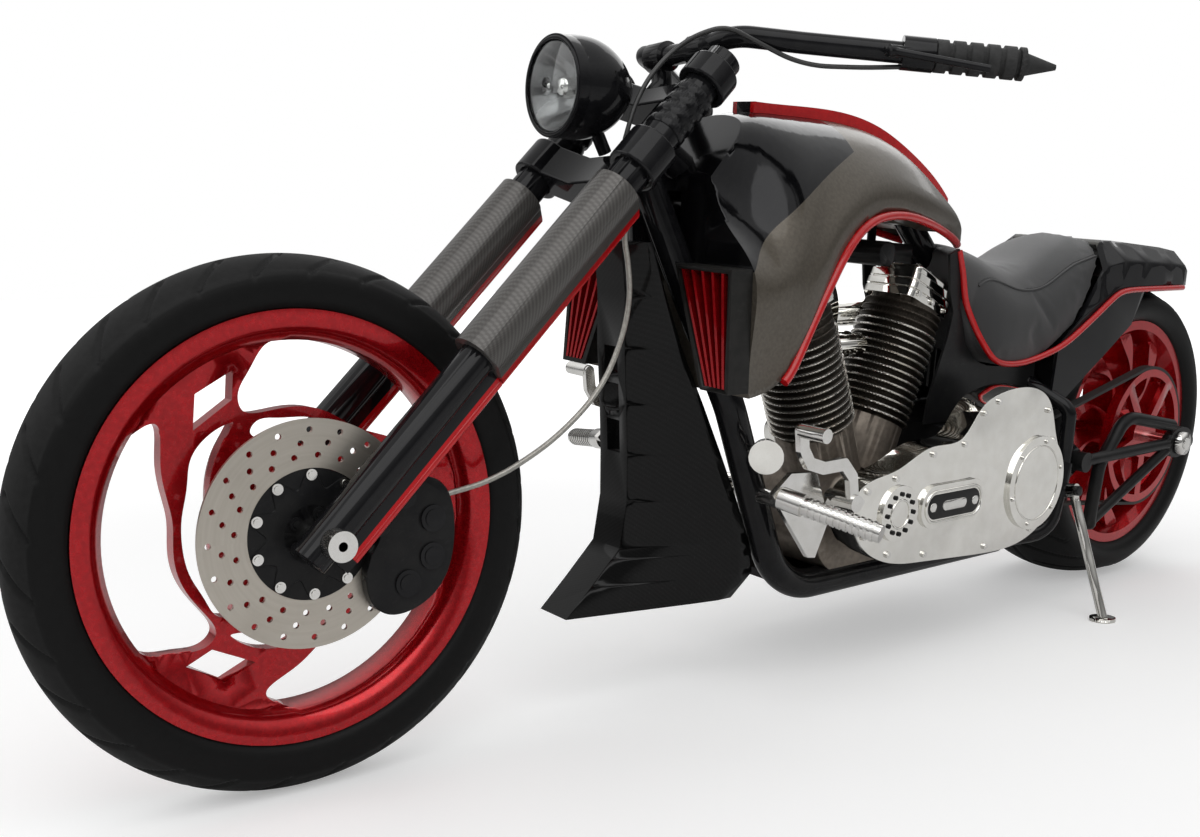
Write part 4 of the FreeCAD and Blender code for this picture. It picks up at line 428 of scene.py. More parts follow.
def tailHighlightPattern(coords, colour, rough):
    # A painted highlight: a grey strip along the top between gloss black sides, where the top catches the light
    x, y, z = axesOf(coords)
    inside = stepUp(calc("ABSOLUTE", y), strips["tail"], strips["tail"] - 0.002)
    mask = times(inside, stepUp(z, strips["tailHighlightFoot"], strips["tailHighlightFoot"] + 0.004))
    return blendColour(mask, colour, strips["tailPaintedHighlight"]), blendValue(mask, rough, 0.30)


# The two leaning cylinders: their common foot, half the vee's angle, and heights along the bore
vee = {"base": (1062.0, -22.0, 232.0), "lean": 22.5, "top": 474.2, "foot": 412.5, "half": (44.0, 39.0),
       "sideFace": 56.4, "finEdge": (0.0722, 0.0732), "finTip": (0.0785, 0.0775)}


def finMaterial():
    # Dark fins whose outer edges are machined bright
    material, tree, shader = startMaterial("finnedIron")
    coords = bikeCoords(tree)
    centred = combined("ShaderNodeVectorMath", range(2), (coords, Vector(vee["base"]) / 1000),
                       operation="SUBTRACT")
    x, y, z = axesOf(centred)
    rings = []
    for side in (-1, 1):
        lean = math.radians(vee["lean"]) * side
        sideways = minus(times(x, math.cos(lean)), times(z, math.sin(lean)))
        radius = lengthOf(sideways, y)
        rings.append(times(stepUp(radius, *vee["finEdge"]), stepUp(radius, *vee["finTip"])))
    edge = calc("MAXIMUM", *rings)
    grain = effect("grain", coords, Scale=1500.0)
    heat = effect("wear", coords, Scale=14.0, Amount=0.8)
    body = blendColour(grain["Tone"], (0.050, 0.043, 0.036), (0.105, 0.090, 0.074))
    bright = blendColour(heat["Patches"], (0.62, 0.60, 0.56), (0.40, 0.36, 0.30))
    setShader(shader, blendColour(edge, body, bright), blendValue(edge, 0.50, 0.22),
              {"Metallic": 0.85})
    addBump(shader, grain["Height"], 0.3, 0.0003)
    return material


# The red stripe begins this far behind each fork leg's axis, in metres
forkStripe = {"from": 0.0385, "soft": 0.0008, "foot": (0.003, 0.005), "red": (0.55, 0.006, 0.010)}


def stripeMask(back):
    return stepUp(back, forkStripe["from"], forkStripe["from"] + forkStripe["soft"])


def carbonMaterial(name, place, tint, light):
    # Lacquered carbon twill, with the fork's stripe painted over it there
    material, tree, shader = startMaterial(name)
    coords = forkCoords(tree) if place == "fork" else bikeCoords(tree)
    x, y, z = axesOf(coords)
    weaveAt = combined("ShaderNodeCombineXYZ", range(2), (plus(x, times(y, 0.8)), z))
    weave = effect("twill", weaveAt, Tow=0.0019)
    wear = effect("wear", coords, Amount=0.15)
    colour = blendColour(weave["Tone"], tint, light)
    if place == "fork":
        colour = blendColour(stripeMask(x), colour, forkStripe["red"])
    colour = blendColour(times(wear["Scratches"], 0.3), colour, (0.12, 0.12, 0.12))
    setShader(shader, colour, plus(0.30, times(wear["Patches"], 0.3)), {
        "Metallic": 0.35, "Coat Weight": 0.28, "Coat Roughness": 0.06, "Specular IOR Level": 0.08})
    addBump(shader, weave["Height"], 0.07, 0.0003)
    return material


def forkBlackMaterial():
    material, tree, shader = startMaterial("forkBlack")
    coords = forkCoords(tree)
    x, y, z = axesOf(coords)
    grain = effect("grain", coords, Scale=600.0)
    wear = effect("wear", coords, Amount=0.2)
    colour = blendColour(grain["Tone"], deepBlack, (0.012, 0.012, 0.013))
    painted = times(stripeMask(x), stepUp(z, *forkStripe["foot"]))
    colour = blendColour(painted, colour, forkStripe["red"])
    setShader(shader, colour, plus(0.10, times(wear["Patches"], 0.25)), {
        "Coat Weight": 0.35, "Coat Roughness": 0.03, "Specular IOR Level": 0.05})
    addBump(shader, grain["Height"], 0.03, 0.0002)
    return material


def discMaterial(wheel):
    # Ground steel, browned in patches by heat
    material, tree, shader = startMaterial(wheel + "DiscSteel")
    coords = wheelCoords(tree, wheel)
    rings = effect("turned", coords, Scale=1100.0)
    wear = effect("wear", coords, Scale=10.0, Amount=0.6)
    colour = blendColour(rings["Tone"], (0.47, 0.43, 0.37), (0.60, 0.56, 0.50))
    colour = blendColour(times(wear["Patches"], 0.4), colour, (0.34, 0.30, 0.25))
    setShader(shader, colour, plus(0.30, times(rings["Tone"], 0.15)), {"Metallic": 0.9})
    addBump(shader, rings["Height"], 0.25, 0.0002)
    return material


# Seat, in metres but for the seam: how far the panel seam runs from the middle, and how the cloth is run
seatLook = {"seamSide": 108.0, "voxel": 0.006, "piping": 0.0024, "pressure": 4.0, "frames": 20, "cap": 0.006,
            "shrink": 0.003, "seamFrom": 1312.0, "seamTo": 1722.0, "seamSteps": 48, "stitchIn": 0.006}


def leatherMaterial():
    # Matt hide, a little paler on the top panel as a painted sheen where the light from above falls on it
    material, tree, shader = startMaterial("seatLeather")
    coords = bikeCoords(tree)
    hide = effect("leather", coords, Scale=460.0)
    wear = effect("wear", coords, Scale=8.0, Amount=0.5)
    seam = seatLook["seamSide"] / 1000
    # The top panel inside the seams gets a paler copy of the hide colour, a painted sheen from the overhead light
    top = stepUp(calc("ABSOLUTE", axesOf(coords)[1]), seam + 0.002, seam - 0.002)
    side = blendColour(hide["Tone"], (0.016, 0.016, 0.017), (0.028, 0.028, 0.029))
    litTopColour = blendColour(hide["Tone"], (0.030, 0.030, 0.031), (0.050, 0.050, 0.051))
    colour = blendColour(top, side, litTopColour)
    colour = blendColour(times(wear["Patches"], 0.25), colour, (0.075, 0.074, 0.073))
    setShader(shader, colour, plus(0.50, times(hide["Tone"], 0.15)),
              {"Sheen Weight": 0.15, "Sheen Roughness": 0.5})
    addBump(shader, hide["Height"], 0.35, 0.0005)
    return material


def tyreMaterial(wheel):
    # Black rubber, a little greyer where the tread is worn
    material, tree, shader = startMaterial(wheel + "TyreRubber")
    coords = wheelCoords(tree, wheel)
    rings = effect("turned", coords, Scale=260.0)
    grain = effect("grain", coords, Scale=1500.0)
    worn = addNode(tree, "ShaderNodeAttribute", attribute_name="tread").outputs["Fac"]
    colour = blendColour(grain["Tone"], (0.003, 0.003, 0.003), (0.007, 0.007, 0.007))
    colour = blendColour(times(worn, grain["Tone"]), colour, (0.018, 0.018, 0.018))
    setShader(shader, colour, plus(0.46, times(worn, 0.18)), {"Specular IOR Level": 0.15})
    height = plus(times(rings["Height"], 0.6), times(grain["Height"], 0.5))
    addBump(shader, height, 0.4, 0.0006)
    return material


def glassMaterial():
    material, tree, shader = startMaterial("lampGlass")
    wear = effect("wear", forkCoords(tree), Amount=0.3)
    colour = blendColour(wear["Patches"], (0.93, 0.95, 0.95), (0.86, 0.88, 0.88))
    setShader(shader, colour, plus(0.01, times(wear["Scratches"], 0.1)),
              {"IOR": 1.45, "Transmission Weight": 1.0})
    return material


materials = {name: paintMaterial(name, look) for name, look in looks.items()}
materials["tank"] = paintMaterial("tankPaint", tankLook, tankPattern)
materials["spine"] = paintMaterial("spinePaint", looks["trimRed"], spinePattern)
# The tail's gloss black, with a painted highlight along its top
materials["tail"] = paintMaterial("tailPaintWithHighlight", looks["glossBlack"], tailHighlightPattern)
materials["fins"] = finMaterial()
materials["chinCarbon"] = carbonMaterial("chinCarbon", "bike", (0.003, 0.003, 0.003), (0.006, 0.006, 0.006))
materials["sleeveCarbon"] = carbonMaterial("sleeveCarbon", "fork", (0.070, 0.066, 0.062),
                                           (0.115, 0.110, 0.105))
materials["forkBlack"] = forkBlackMaterial()
for wheelName in ("front", "rear"):
    materials[wheelName + "Disc"] = discMaterial(wheelName)
    materials[wheelName + "Tyre"] = tyreMaterial(wheelName)
materials["leather"] = leatherMaterial()
materials["glass"] = glassMaterial()
print("materials made:", len(materials))

finishes = {
    "glossBlack": "main_frame oil_tank fork_tubes lower_clamp upper_clamp handlebar hand_controls "
                  "headlight_shell",
    "satinBlack": "swingarm side_covers transmission ignition_coil rear_caliper front_caliper "
                  "front_disc_carrier",
    "chrome": "rocker_boxes primary_cover air_cleaner exhaust horn side_stand",
    "polished": "rear_axle cam_cover foot_controls front_axle",
    "candyRed": "scoop_louvres front_rim rear_rim rear_pulley",
    "chinCarbon": "chin_fairing", "scoopBlack": "side_scoops", "tank": "fuel_tank", "spine": "tank_spine",
    "leather": "seat", "trimRed": "body_trim", "tail": "rear_fender", "crankcase": "crankcase",
    "fins": "cylinders", "belt": "drive_belt", "forkBlack": "fork_lowers", "sleeveCarbon": "fork_sleeves",
    "foam": "grips", "glass": "headlight_lens", "braid": "brake_hose", "sheath": "handlebar_cables",
    "frontTyre": "front_tyre", "frontDisc": "front_disc", "rearTyre": "rear_tyre", "rearDisc": "rear_disc"}
nodeFinish = {nodeName: finish for finish, members in finishes.items() for nodeName in members.split()}
bodyOf = {member: bodyName for bodyName, members in frame["record"]["behaviour"]["bodies"].items()
          for member in members}


def paint(piece, finish):
    piece.data.materials.clear()
    piece.data.materials.append(materials[finish])


for nodeName, nodeObject in nodes.items():
    paint(nodeObject, nodeFinish[nodeName])


# Making and placing pieces
def placePiece(name, data, finish, body):
    piece = addObject(name, data)
    paint(piece, finish)
    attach(piece, body)
    return piece


def meshPiece(name, points, faces, finish, body, tread=None):
    data = bpy.data.meshes.new(name)
    data.from_pydata([tuple(point) for point in points], [], faces)
    data.update()
    data.shade_smooth()
    if tread:
        data.attributes.new("tread", "FLOAT", "POINT").data.foreach_set("value", tread)
    piece = placePiece(name, data, finish, body)
    faceOutward(piece)
    return piece


def faceOutward(piece):
    shape = bmesh.new()
    shape.from_mesh(piece.data)
    bmesh.ops.remove_doubles(shape, verts=shape.verts, dist=0.000005)
    bmesh.ops.recalc_face_normals(shape, faces=shape.faces)
    shape.to_mesh(piece.data)
    shape.free()
    piece.data.update()


def mergedCopy(nodeName):
    # The node's own shape with its points joined, so that curved faces shade smoothly
    data = nodes[nodeName].data.copy()
    shape = bmesh.new()
    shape.from_mesh(data)
    bmesh.ops.remove_doubles(shape, verts=shape.verts, dist=0.00001)
    bmesh.ops.dissolve_degenerate(shape, edges=shape.edges, dist=0.000005)
    shape.to_mesh(data)
    shape.free()
    return data


# Edge radii of castings and covers, in metres
softEdges = {"primary_cover": 0.007, "transmission": 0.006, "cam_cover": 0.004, "rocker_boxes": 0.003,
             "upper_clamp": 0.003, "lower_clamp": 0.003, "foot_controls": 0.0012}


def softenEdges(piece, radius):
    shape = bmesh.new()
    shape.from_mesh(piece.data)
    bmesh.ops.dissolve_limit(shape, angle_limit=math.radians(1.0), verts=shape.verts, edges=shape.edges)
    shape.to_mesh(piece.data)
    shape.free()
    bevel = piece.modifiers.new("softEdge", "BEVEL")
    bevel.width = radius
    bevel.segments = 3
    bevel.limit_method = "ANGLE"
    bevel.angle_limit = math.radians(45)
    bevel.use_clamp_overlap = True


def smoothCopy(nodeName, sharpFrom=34.0):
    data = mergedCopy(nodeName)
    data.name = nodeName + "_skin"
    piece = placePiece(data.name, data, nodeFinish[nodeName], bodyOf[nodeName])
    if nodeName in softEdges:
        softenEdges(piece, softEdges[nodeName])
    data.shade_smooth()
    data.set_sharp_from_angle(angle=math.radians(sharpFrom))
    weighted = piece.modifiers.new("evenNormals", "WEIGHTED_NORMAL")
    weighted.keep_sharp = True
    weighted.mode = "FACE_AREA_WITH_ANGLE"
    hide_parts(nodeName)


remade = {"seat", "body_trim", "front_tyre", "rear_tyre", "headlight_lens", "brake_hose"}
for nodeName in sorted(nodes):
    if nodeName not in remade:
        smoothCopy(nodeName)
print("CAD shapes smoothed")


def ringFaces(rows, steps, closed=False):
    # Faces from each ring of points to the next, and from the last to the first where closed
    faces = []
    for row in range(rows if closed else rows - 1):
        low, high = row * steps, (row + 1) % rows * steps
        for step in range(steps):
            after = (step + 1) % steps
            faces.append((low + step, low + after, high + after, high + step))
    return faces


def lathe(name, profile, toPlace, finish, body, steps=64, closed=False):
    # profile is (radius, along); toPlace maps (radius, angle, along) to the row frame
    points = [toPlace(radius, 2 * math.pi * step / steps, along)
              for radius, along in profile for step in range(steps)]
    return meshPiece(name, points, ringFaces(len(profile), steps, closed), finish, body)


def bakedMesh(source, name):
    # The evaluated shape as a plain mesh
    depsgraph = bpy.context.evaluated_depsgraph_get()
    made = bpy.data.meshes.new_from_object(source.evaluated_get(depsgraph))
    made.name = name
    return made


def tube(name, points, radius, finish, body, resolution=6, sides=5, closed=False):
    # A smooth tube that follows its points, or a closed ring straight from point to point
    curve = bpy.data.curves.new(name + "Path", "CURVE")
    curve.dimensions = "3D"
    curve.bevel_depth = radius
    curve.bevel_resolution = sides
    curve.resolution_u = resolution
    curve.use_fill_caps = not closed
    spline = curve.splines.new("POLY" if closed else "NURBS")
    spline.points.add(len(points) - 1)
    for place, point in zip(spline.points, points):
        place.co = (*point, 1.0)
    if closed:
        spline.use_cyclic_u = True
    else:
        spline.order_u = 3
        spline.use_endpoint_u = True
    source = addObject(name + "Path", curve)
    data = bakedMesh(source, name)
    bpy.data.objects.remove(source)
    data.shade_smooth()
    return placePiece(name, data, finish, body)


# Geometry Nodes: a two-step turned shape set on points, along each point's axis
studInputs = {"Base Radius": 0.006, "Base Height": 0.002, "Base Sides": 16, "Head Radius": 0.004,
              "Head Height": 0.004, "Head Sides": 6}


def buildStuds():
    tree = bpy.data.node_groups.new("turnedStuds", "GeometryNodeTree")
    face = tree.interface
    face.new_socket("Geometry", in_out="INPUT", socket_type="NodeSocketGeometry")
    for label, value in studInputs.items():
        kind = "NodeSocketInt" if label.endswith("Sides") else "NodeSocketFloat"
        face.new_socket(label, in_out="INPUT", socket_type=kind).default_value = value
    face.new_socket("Material", in_out="INPUT", socket_type="NodeSocketMaterial")
    face.new_socket("Geometry", in_out="OUTPUT", socket_type="NodeSocketGeometry")
    given = tree.nodes.new("NodeGroupInput").outputs
    result = tree.nodes.new("NodeGroupOutput").inputs
    joinedShape = tree.nodes.new("GeometryNodeJoinGeometry")
    for part in ("Base", "Head"):
        height = given[part + " Height"]
        if part == "Head":
            height = plus(height, given["Base Height"])
        turned = tree.nodes.new("GeometryNodeMeshCylinder")
        lift = addNode(tree, "ShaderNodeCombineXYZ")
        moved = tree.nodes.new("GeometryNodeTransform")
        for source, target in ((given[part + " Sides"], turned.inputs["Vertices"]),
                               (given[part + " Radius"], turned.inputs["Radius"]),
                               (height, turned.inputs["Depth"]), (times(height, 0.5), lift.inputs[2]),
                               (turned.outputs["Mesh"], moved.inputs["Geometry"]),
                               (lift.outputs[0], moved.inputs["Translation"]),
                               (moved.outputs["Geometry"], joinedShape.inputs["Geometry"])):
            tree.links.new(source, target)
    axis = addNode(tree, "GeometryNodeInputNamedAttribute", {"Name": "axis"}, data_type="FLOAT_VECTOR")
    turn = addNode(tree, "FunctionNodeAlignRotationToVector", axis="Z")
    spread = tree.nodes.new("GeometryNodeInstanceOnPoints")
    real = tree.nodes.new("GeometryNodeRealizeInstances")
    coloured = tree.nodes.new("GeometryNodeSetMaterial")
    for source, target in ((axis.outputs["Attribute"], turn.inputs["Vector"]),
                           (given["Geometry"], spread.inputs["Points"]),
                           (joinedShape.outputs["Geometry"], spread.inputs["Instance"]),
                           (turn.outputs["Rotation"], spread.inputs["Rotation"]),
                           (spread.outputs["Instances"], real.inputs["Geometry"]),
                           (real.outputs["Geometry"], coloured.inputs["Geometry"]),
                           (given["Material"], coloured.inputs["Material"]),
                           (coloured.outputs["Geometry"], result["Geometry"])):
        tree.links.new(source, target)
    return tree


studTree = buildStuds()
# Each kind of fastener as the tree's inputs, in their order
fasteners = {"large": (0.0085, 0.0022, 20, 0.0050, 0.0035, 6),
             "small": (0.0055, 0.0040, 16, 0.0027, 0.0006, 6),
             "bobbin": (0.0072, 0.0018, 24, 0.0045, 0.0016, 20),
             "rib": (0.0158, 0.0050, 28, 0.0148, 0.0008, 28),
             "pot": (0.0180, 0.0030, 32, 0.0120, 0.0014, 28),
             "notch": (0.0040, 0.0025, 12, 0.0026, 0.0008, 12),
             "stitch": (0.0007, 0.0056, 8, 0.0005, 0.0002, 6)}


def studs(name, places, kind, finish, body):
    # places is a list of (point, axis)
    data = bpy.data.meshes.new(name + "Points")
    data.from_pydata([tuple(point) for point, axis in places], [], [])
    attribute = data.attributes.new("axis", "FLOAT_VECTOR", "POINT")
    for entry, (point, axis) in zip(attribute.data, places):
        entry.vector = axis
    source = addObject(name + "Points", data)
    modifier = source.modifiers.new("studs", "NODES")
    modifier.node_group = studTree
    identifiers = {item.name: item.identifier for item in studTree.interface.items_tree
                   if item.in_out == "INPUT"}
    for label, value in zip(studInputs, fasteners[kind]):
        modifier[identifiers[label]] = value
    modifier[identifiers["Material"]] = materials[finish]
    made = bakedMesh(source, name)
    bpy.data.objects.remove(source)
    made.shade_flat()
    piece = addObject(name, made)
    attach(piece, body)
    return piece


# Tyres: a smooth carcass with curved tread grooves cut into the crown
tyres = {
    "front": {"radius": 350.7, "halfWidth": 49.0, "crown": 52.0, "flange": 281.0, "bead": 267.0,
              "rimHalf": 42.0, "steps": 1040, "crownRows": 19, "grooves": 28, "sweep": 0.85, "grooveHalf": 5.6,
              "deep": 4.2, "from": 0.08, "to": 0.97, "centreGroove": 0.0},
    "rear": {"radius": 328.6, "halfWidth": 124.0, "crown": 210.0, "flange": 243.0, "bead": 229.0,
             "rimHalf": 108.0, "steps": 900, "crownRows": 24, "grooves": 24, "sweep": 1.3, "grooveHalf": 4.8,
             "deep": 4.4, "from": 0.12, "to": 0.96, "centreGroove": 3.0}}
# How both sit on their rims: clearances, the rim's wall and the bead's reach, in millimetres
carcass = {"shoulder": 0.86, "clear": 0.6, "inside": 0.4, "rimWall": 5.6, "beadReach": 10.0}


def tyreProfile(size):
    # (radius, sideways) from the middle of the crown to the bead on one side
    edge = size["halfWidth"] * carcass["shoulder"]
    rows = []
    for row in range(size["crownRows"] + 1):
        side = edge * row / size["crownRows"]
        rows.append((size["radius"] - size["crown"] + math.sqrt(size["crown"] ** 2 - side ** 2), side))
    shoulder = rows[-1][0]
    lip = size["flange"] + carcass["clear"]
    inner = size["rimHalf"] - carcass["rimWall"]
    outer = size["halfWidth"] - carcass["inside"]
    widest = shoulder - (shoulder - lip) * 0.5
    for share in (0.25, 0.5, 0.75, 1.0):
        turn = share * math.pi / 2
        rows.append((widest + (shoulder - widest) * math.cos(turn), edge + (outer - edge) * math.sin(turn)))
    for share in (0.2, 0.4, 0.6, 0.8, 1.0):
        turn = share * math.pi / 2
        rows.append((lip + (widest - lip) * (1 - math.sin(turn)), inner + (outer - inner) * math.cos(turn)))
    rows.append((size["bead"] + carcass["clear"], inner - carcass["beadReach"]))
    return rows


def grooveCut(size, radius, side, angle):
    # How far a groove is cut at a place of the tread, from 0 to 1
    if abs(side) < size["centreGroove"]:
        return 1.0
    share, pitch = abs(side) / size["halfWidth"], 2 * math.pi / size["grooves"]
    shift = size["sweep"] * pitch * share ** 1.6 + (pitch / 2 if side > 0 else 0.0)
    near = (angle - shift + pitch / 2) % pitch - pitch / 2
    reach = min(1.0, max(0.0, (share - size["from"]) / 0.08)) * min(1.0, max(0.0, (size["to"] - share) / 0.10))
    width = size["grooveHalf"] * (0.55 + 0.45 * reach)
    return reach * max(0.0, 1.0 - max(0.0, abs(near) * radius - width * 0.5) / (width * 0.6))


def makeTyre(wheel):
    size = tyres[wheel]
    half = tyreProfile(size)
    rows = [(radius, -side) for radius, side in reversed(half[1:])] + half
    treadFoot = size["flange"] + (size["radius"] - size["flange"]) * 0.50
    points, treadMask = [], []
    for radius, side in rows:
        worn = abs(side) / size["halfWidth"] < 0.88
        for step in range(size["steps"]):
            angle = 2 * math.pi * step / size["steps"]
            cut = grooveCut(size, radius, side, angle) if radius > treadFoot else 0.0
            deep = radius - cut * size["deep"]
            points.append(onWheel(wheel, deep * math.cos(angle), side, deep * math.sin(angle)))
            treadMask.append(1.0 - cut if worn else 0.0)
    faces = ringFaces(len(rows), size["steps"], True)
    piece = meshPiece(wheel + "TyreTread", points, faces, wheel + "Tyre", wheel + "_wheel", treadMask)
    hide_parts(wheel + "_tyre")


makeTyre("front")
makeTyre("rear")
print("tyres made")


# Seat: the solid's shape, remeshed, puffed a little and smoothed, with a sewn panel seam
def surfaceOf(*shapes):
    # One surface to draw trims in to, from the points of one or more meshes
    points, faces = [], []
    for data in shapes:
        faces += [tuple(corner + len(points) for corner in part.vertices) for part in data.polygons]
        points += [vertex.co.copy() for vertex in data.vertices]
    return BVHTree.FromPolygons(points, faces)


def makeSeat():
    data = mergedCopy("seat")
    data.name = "seatCushion"
    seat = addObject("seatCushion", data)
    data.remesh_voxel_size = seatLook["voxel"]
    remesh = seat.modifiers.new("remesh", "REMESH")
    remesh.mode = "VOXEL"
    remesh.voxel_size = seatLook["voxel"]
    smoothing = seat.modifiers.new("smooth", "SMOOTH")
    smoothing.iterations = 6
    smoothing.factor = 0.5
    seat.data = bakedMesh(seat, "seatCushion")
    seat.modifiers.clear()
    start = [vertex.co.copy() for vertex in seat.data.vertices]
    normals = [vertex.normal.copy() for vertex in seat.data.vertices]
    for vertex, normal in zip(seat.data.vertices, normals):
        vertex.co -= normal * seatLook["shrink"]
    cloth = seat.modifiers.new("cloth", "CLOTH")
    cloth.settings.use_pressure = True
    cloth.settings.uniform_pressure_force = seatLook["pressure"]
    cloth.settings.quality = 4
    cloth.settings.effector_weights.gravity = 0
    cloth.point_cache.frame_end = seatLook["frames"]
    scene = bpy.context.scene
    for frameNumber in range(1, seatLook["frames"] + 1):
        scene.frame_set(frameNumber)
    puffed = bakedMesh(seat, "seatCushion")
    seat.modifiers.clear()
    for vertex, target, origin in zip(seat.data.vertices, puffed.vertices, start):
        move = target.co - origin
        if move.length > seatLook["cap"]:
            move.length = seatLook["cap"]
        vertex.co = origin + move
    scene.frame_set(1)
    ease = seat.modifiers.new("ease", "SMOOTH")
    ease.iterations = 3
    seat.data = bakedMesh(seat, "seatCushion")
    seat.modifiers.clear()
    seat.data.shade_smooth()
    paint(seat, "leather")
    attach(seat, "frame")
    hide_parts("seat")
    return seat


seat = makeSeat()
seatSurface = surfaceOf(seat.data)
downBike = outBike(0, 0, -1)


def droppedOn(surface, x, y, fromZ, lift):
    # The place on a surface straight below (x, y) of the bike
    hit, normal, index, distance = surface.ray_cast(onBike(x, y, fromZ), downBike)
    return (hit + normal * lift, normal) if hit else (None, None)


def sewSeam(side, word):
    # Piping along the panel's edge and stitches just inside it
    path, snapped, steps = [], [], seatLook["seamSteps"]
    for step in range(steps + 1):
        x = seatLook["seamFrom"] + (seatLook["seamTo"] - seatLook["seamFrom"]) * step / steps
        place, normal = droppedOn(seatSurface, x, side * seatLook["seamSide"], 900, 0.0006)
        if place and normal.z > 0.15:
            path.append(place)
    tube("seatPiping" + word, path[::3] + path[-1:], seatLook["piping"], "leather", "frame", 8)
    for before, after in zip(path, path[1:]):
        along = (after - before).normalized()
        inside = (before + after) / 2 + Vector((0, side * -seatLook["stitchIn"], 0.0005))
        near, normal, index, distance = seatSurface.find_nearest(inside)
        snapped.append((near + normal * 0.0003 - along * 0.0028, along))
    studs("seatStitches" + word, snapped, "stitch", "sheath", "frame")


sewSeam(-1, "L")
sewSeam(1, "R")
print("seat made")

# Red trim: one strip under each tank wing, one along the seat and the tail, and a bead down each fork leg
trim = {"wing": 7.5, "rail": 6.0, "leg": 5.5, "sunk": 0.35, "legSide": 125, "legBack": 47.5, "coverTo": 1284,
        "lowerBead": (4, 304), "sleeveBead": (306, 621),
        "wingRoute": [(722, 193, 520), (738, 190, 540), (785, 183, 612), (850, 174, 702), (900, 165, 745),
                      (950, 156, 768), (1050, 140, 775), (1150, 120, 760), (1265, 84, 734), (1306, 62, 722)],
        "railRoute": [(1262, 100, 717), (1268, 101, 700), (1277, 103, 674), (1288, 108, 625), (1306, 124, 574),
                      (1330, 138, 535), (1352, 146, 516), (1395, 150, 500), (1475, 150, 502), (1575, 150, 543),
                      (1675, 150, 596), (1735, 150, 630), (1770, 152, 641), (1838, 152, 643), (1960, 151, 643),
                      (2020, 147, 643)]}


def throughPoints(places, steps):
    # Places along a smooth curve through the route
    made = []
    for index in range(len(places) - 1):
        before, start = Vector(places[max(index - 1, 0)]), Vector(places[index])
        end, after = Vector(places[index + 1]), Vector(places[min(index + 2, len(places) - 1)])
        for step in range(steps):
            t = step / steps
            made.append(0.5 * (2 * start + (end - before) * t
                               + (2 * before - 5 * start + 4 * end - after) * t * t
                               + (3 * start - before - 3 * end + after) * t ** 3))
    return made + [Vector(places[-1])]


def laidAlong(surface, part, side):
    # The route drawn in to the nearest place on a surface, half sunk into it
    laid, radius = [], trim[part] / 1000
    for place in throughPoints(trim[part + "Route"], 3):
        guess = onBike(place.x, side * place.y, place.z)
        near, normal, index, distance = surface.find_nearest(guess)
        outward = (guess - near).normalized() if distance > 0.0005 else normal
        if part == "rail" and place.x < trim["coverTo"]:
            laid.append(guess)    # here it lies on the side cover's face
        else:
            laid.append(near + outward * min(distance, radius * (1 - trim["sunk"])))
    for turn in range(2):
        laid = [laid[0]] + [(a + b * 2 + c) / 4 for a, b, c in zip(laid, laid[1:], laid[2:])] + [laid[-1]]
    return laid


trimSurfaces = {"wing": surfaceOf(nodes["fuel_tank"].data),
                "rail": surfaceOf(seat.data, nodes["rear_fender"].data, nodes["side_covers"].data)}
for side, word in ((-1, "Left"), (1, "Right")):
    for part, surface in trimSurfaces.items():
        strip = tube(part + "Trim" + word, laidAlong(surface, part, side), trim[part] / 1000, "trimRed",
                     "frame", 4, 4)
        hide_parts("body_trim")
    for part in ("lower", "sleeve"):
        start, end = trim[part + "Bead"]
        path = [onFork(along, side * trim["legSide"], trim["legBack"])
                for along in (start, (start + end) / 2, end)]
        tube(part + "Bead" + word, path, trim["leg"] / 1000, "trimRed", "steering", 4, 4)
print("trim laid")


# Lamp: a fluted bowl, a bulb shield and a thin domed glass; profiles are (radius, along) from its rim
lamp = {"x": 431.0, "z": 941.0, "radius": 65.0, "rim": 16.0, "bulge": 12.0, "wall": 3.0, "gap": 0.6,
        "domeShares": (0.999, 0.96, 0.88, 0.76, 0.6, 0.42, 0.22, 0.06),
        "bowlShares": (1.0, 0.85, 0.7, 0.55, 0.4, 0.28, 0.17, 0.08, 0.02), "bowlFoot": 12, "bowlDepth": 42,
        "shield": ((0.4, 12), (9, 13), (14, 16), (16, 22), (16, 32), (13, 34), (6, 50), (0.4, 52)),
        "ring": ((2.4, -2.6), (5.4, -1.6), (7.2, 1.2), (5.0, 0.4), (0.8, 0.2), (0.6, -1.4))}


def lampPlace(radius, angle, along):
    return steered(along, radius * math.sin(angle), lamp["z"] + radius * math.cos(angle))


def makeLamp():
    front, reach = lamp["x"] - lamp["rim"], lamp["radius"] - lamp["gap"]
    dome = [(reach * share, front - lamp["bulge"] * (1 - share ** 2) + 0.4) for share in lamp["domeShares"]]
    inner = [(radius - 0.4, along + lamp["wall"]) for radius, along in reversed(dome)]
    glass = lathe("lampGlassDome", dome + inner, lampPlace, "glass", "steering", 72, True)
    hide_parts("headlight_lens")
    foot, depth = lamp["bowlFoot"], lamp["bowlDepth"]
    bowl = [(reach - 1.5, front + 5), (reach - 2.5, front + 8)]
    bowl += [(foot + (reach - 16) * math.sqrt(share), front + 10 + depth * (1 - share))
             for share in lamp["bowlShares"]]
    bowl += [(6.0, front + 53), (0.5, front + 53)]
    back = [(radius + 1.2, along + 1.0) for radius, along in reversed(bowl)]
    lathe("lampBowl", bowl + back, lampPlace, "smoked", "steering", 72, True)
    shield = [(radius, front + along) for radius, along in lamp["shield"]]
    lathe("lampShield", shield, lampPlace, "polished", "steering", 40)
    ring = [(reach + radius, front + along) for radius, along in lamp["ring"]]
    lathe("lampRing", ring, lampPlace, "glossBlack", "steering", 96, True)


makeLamp()

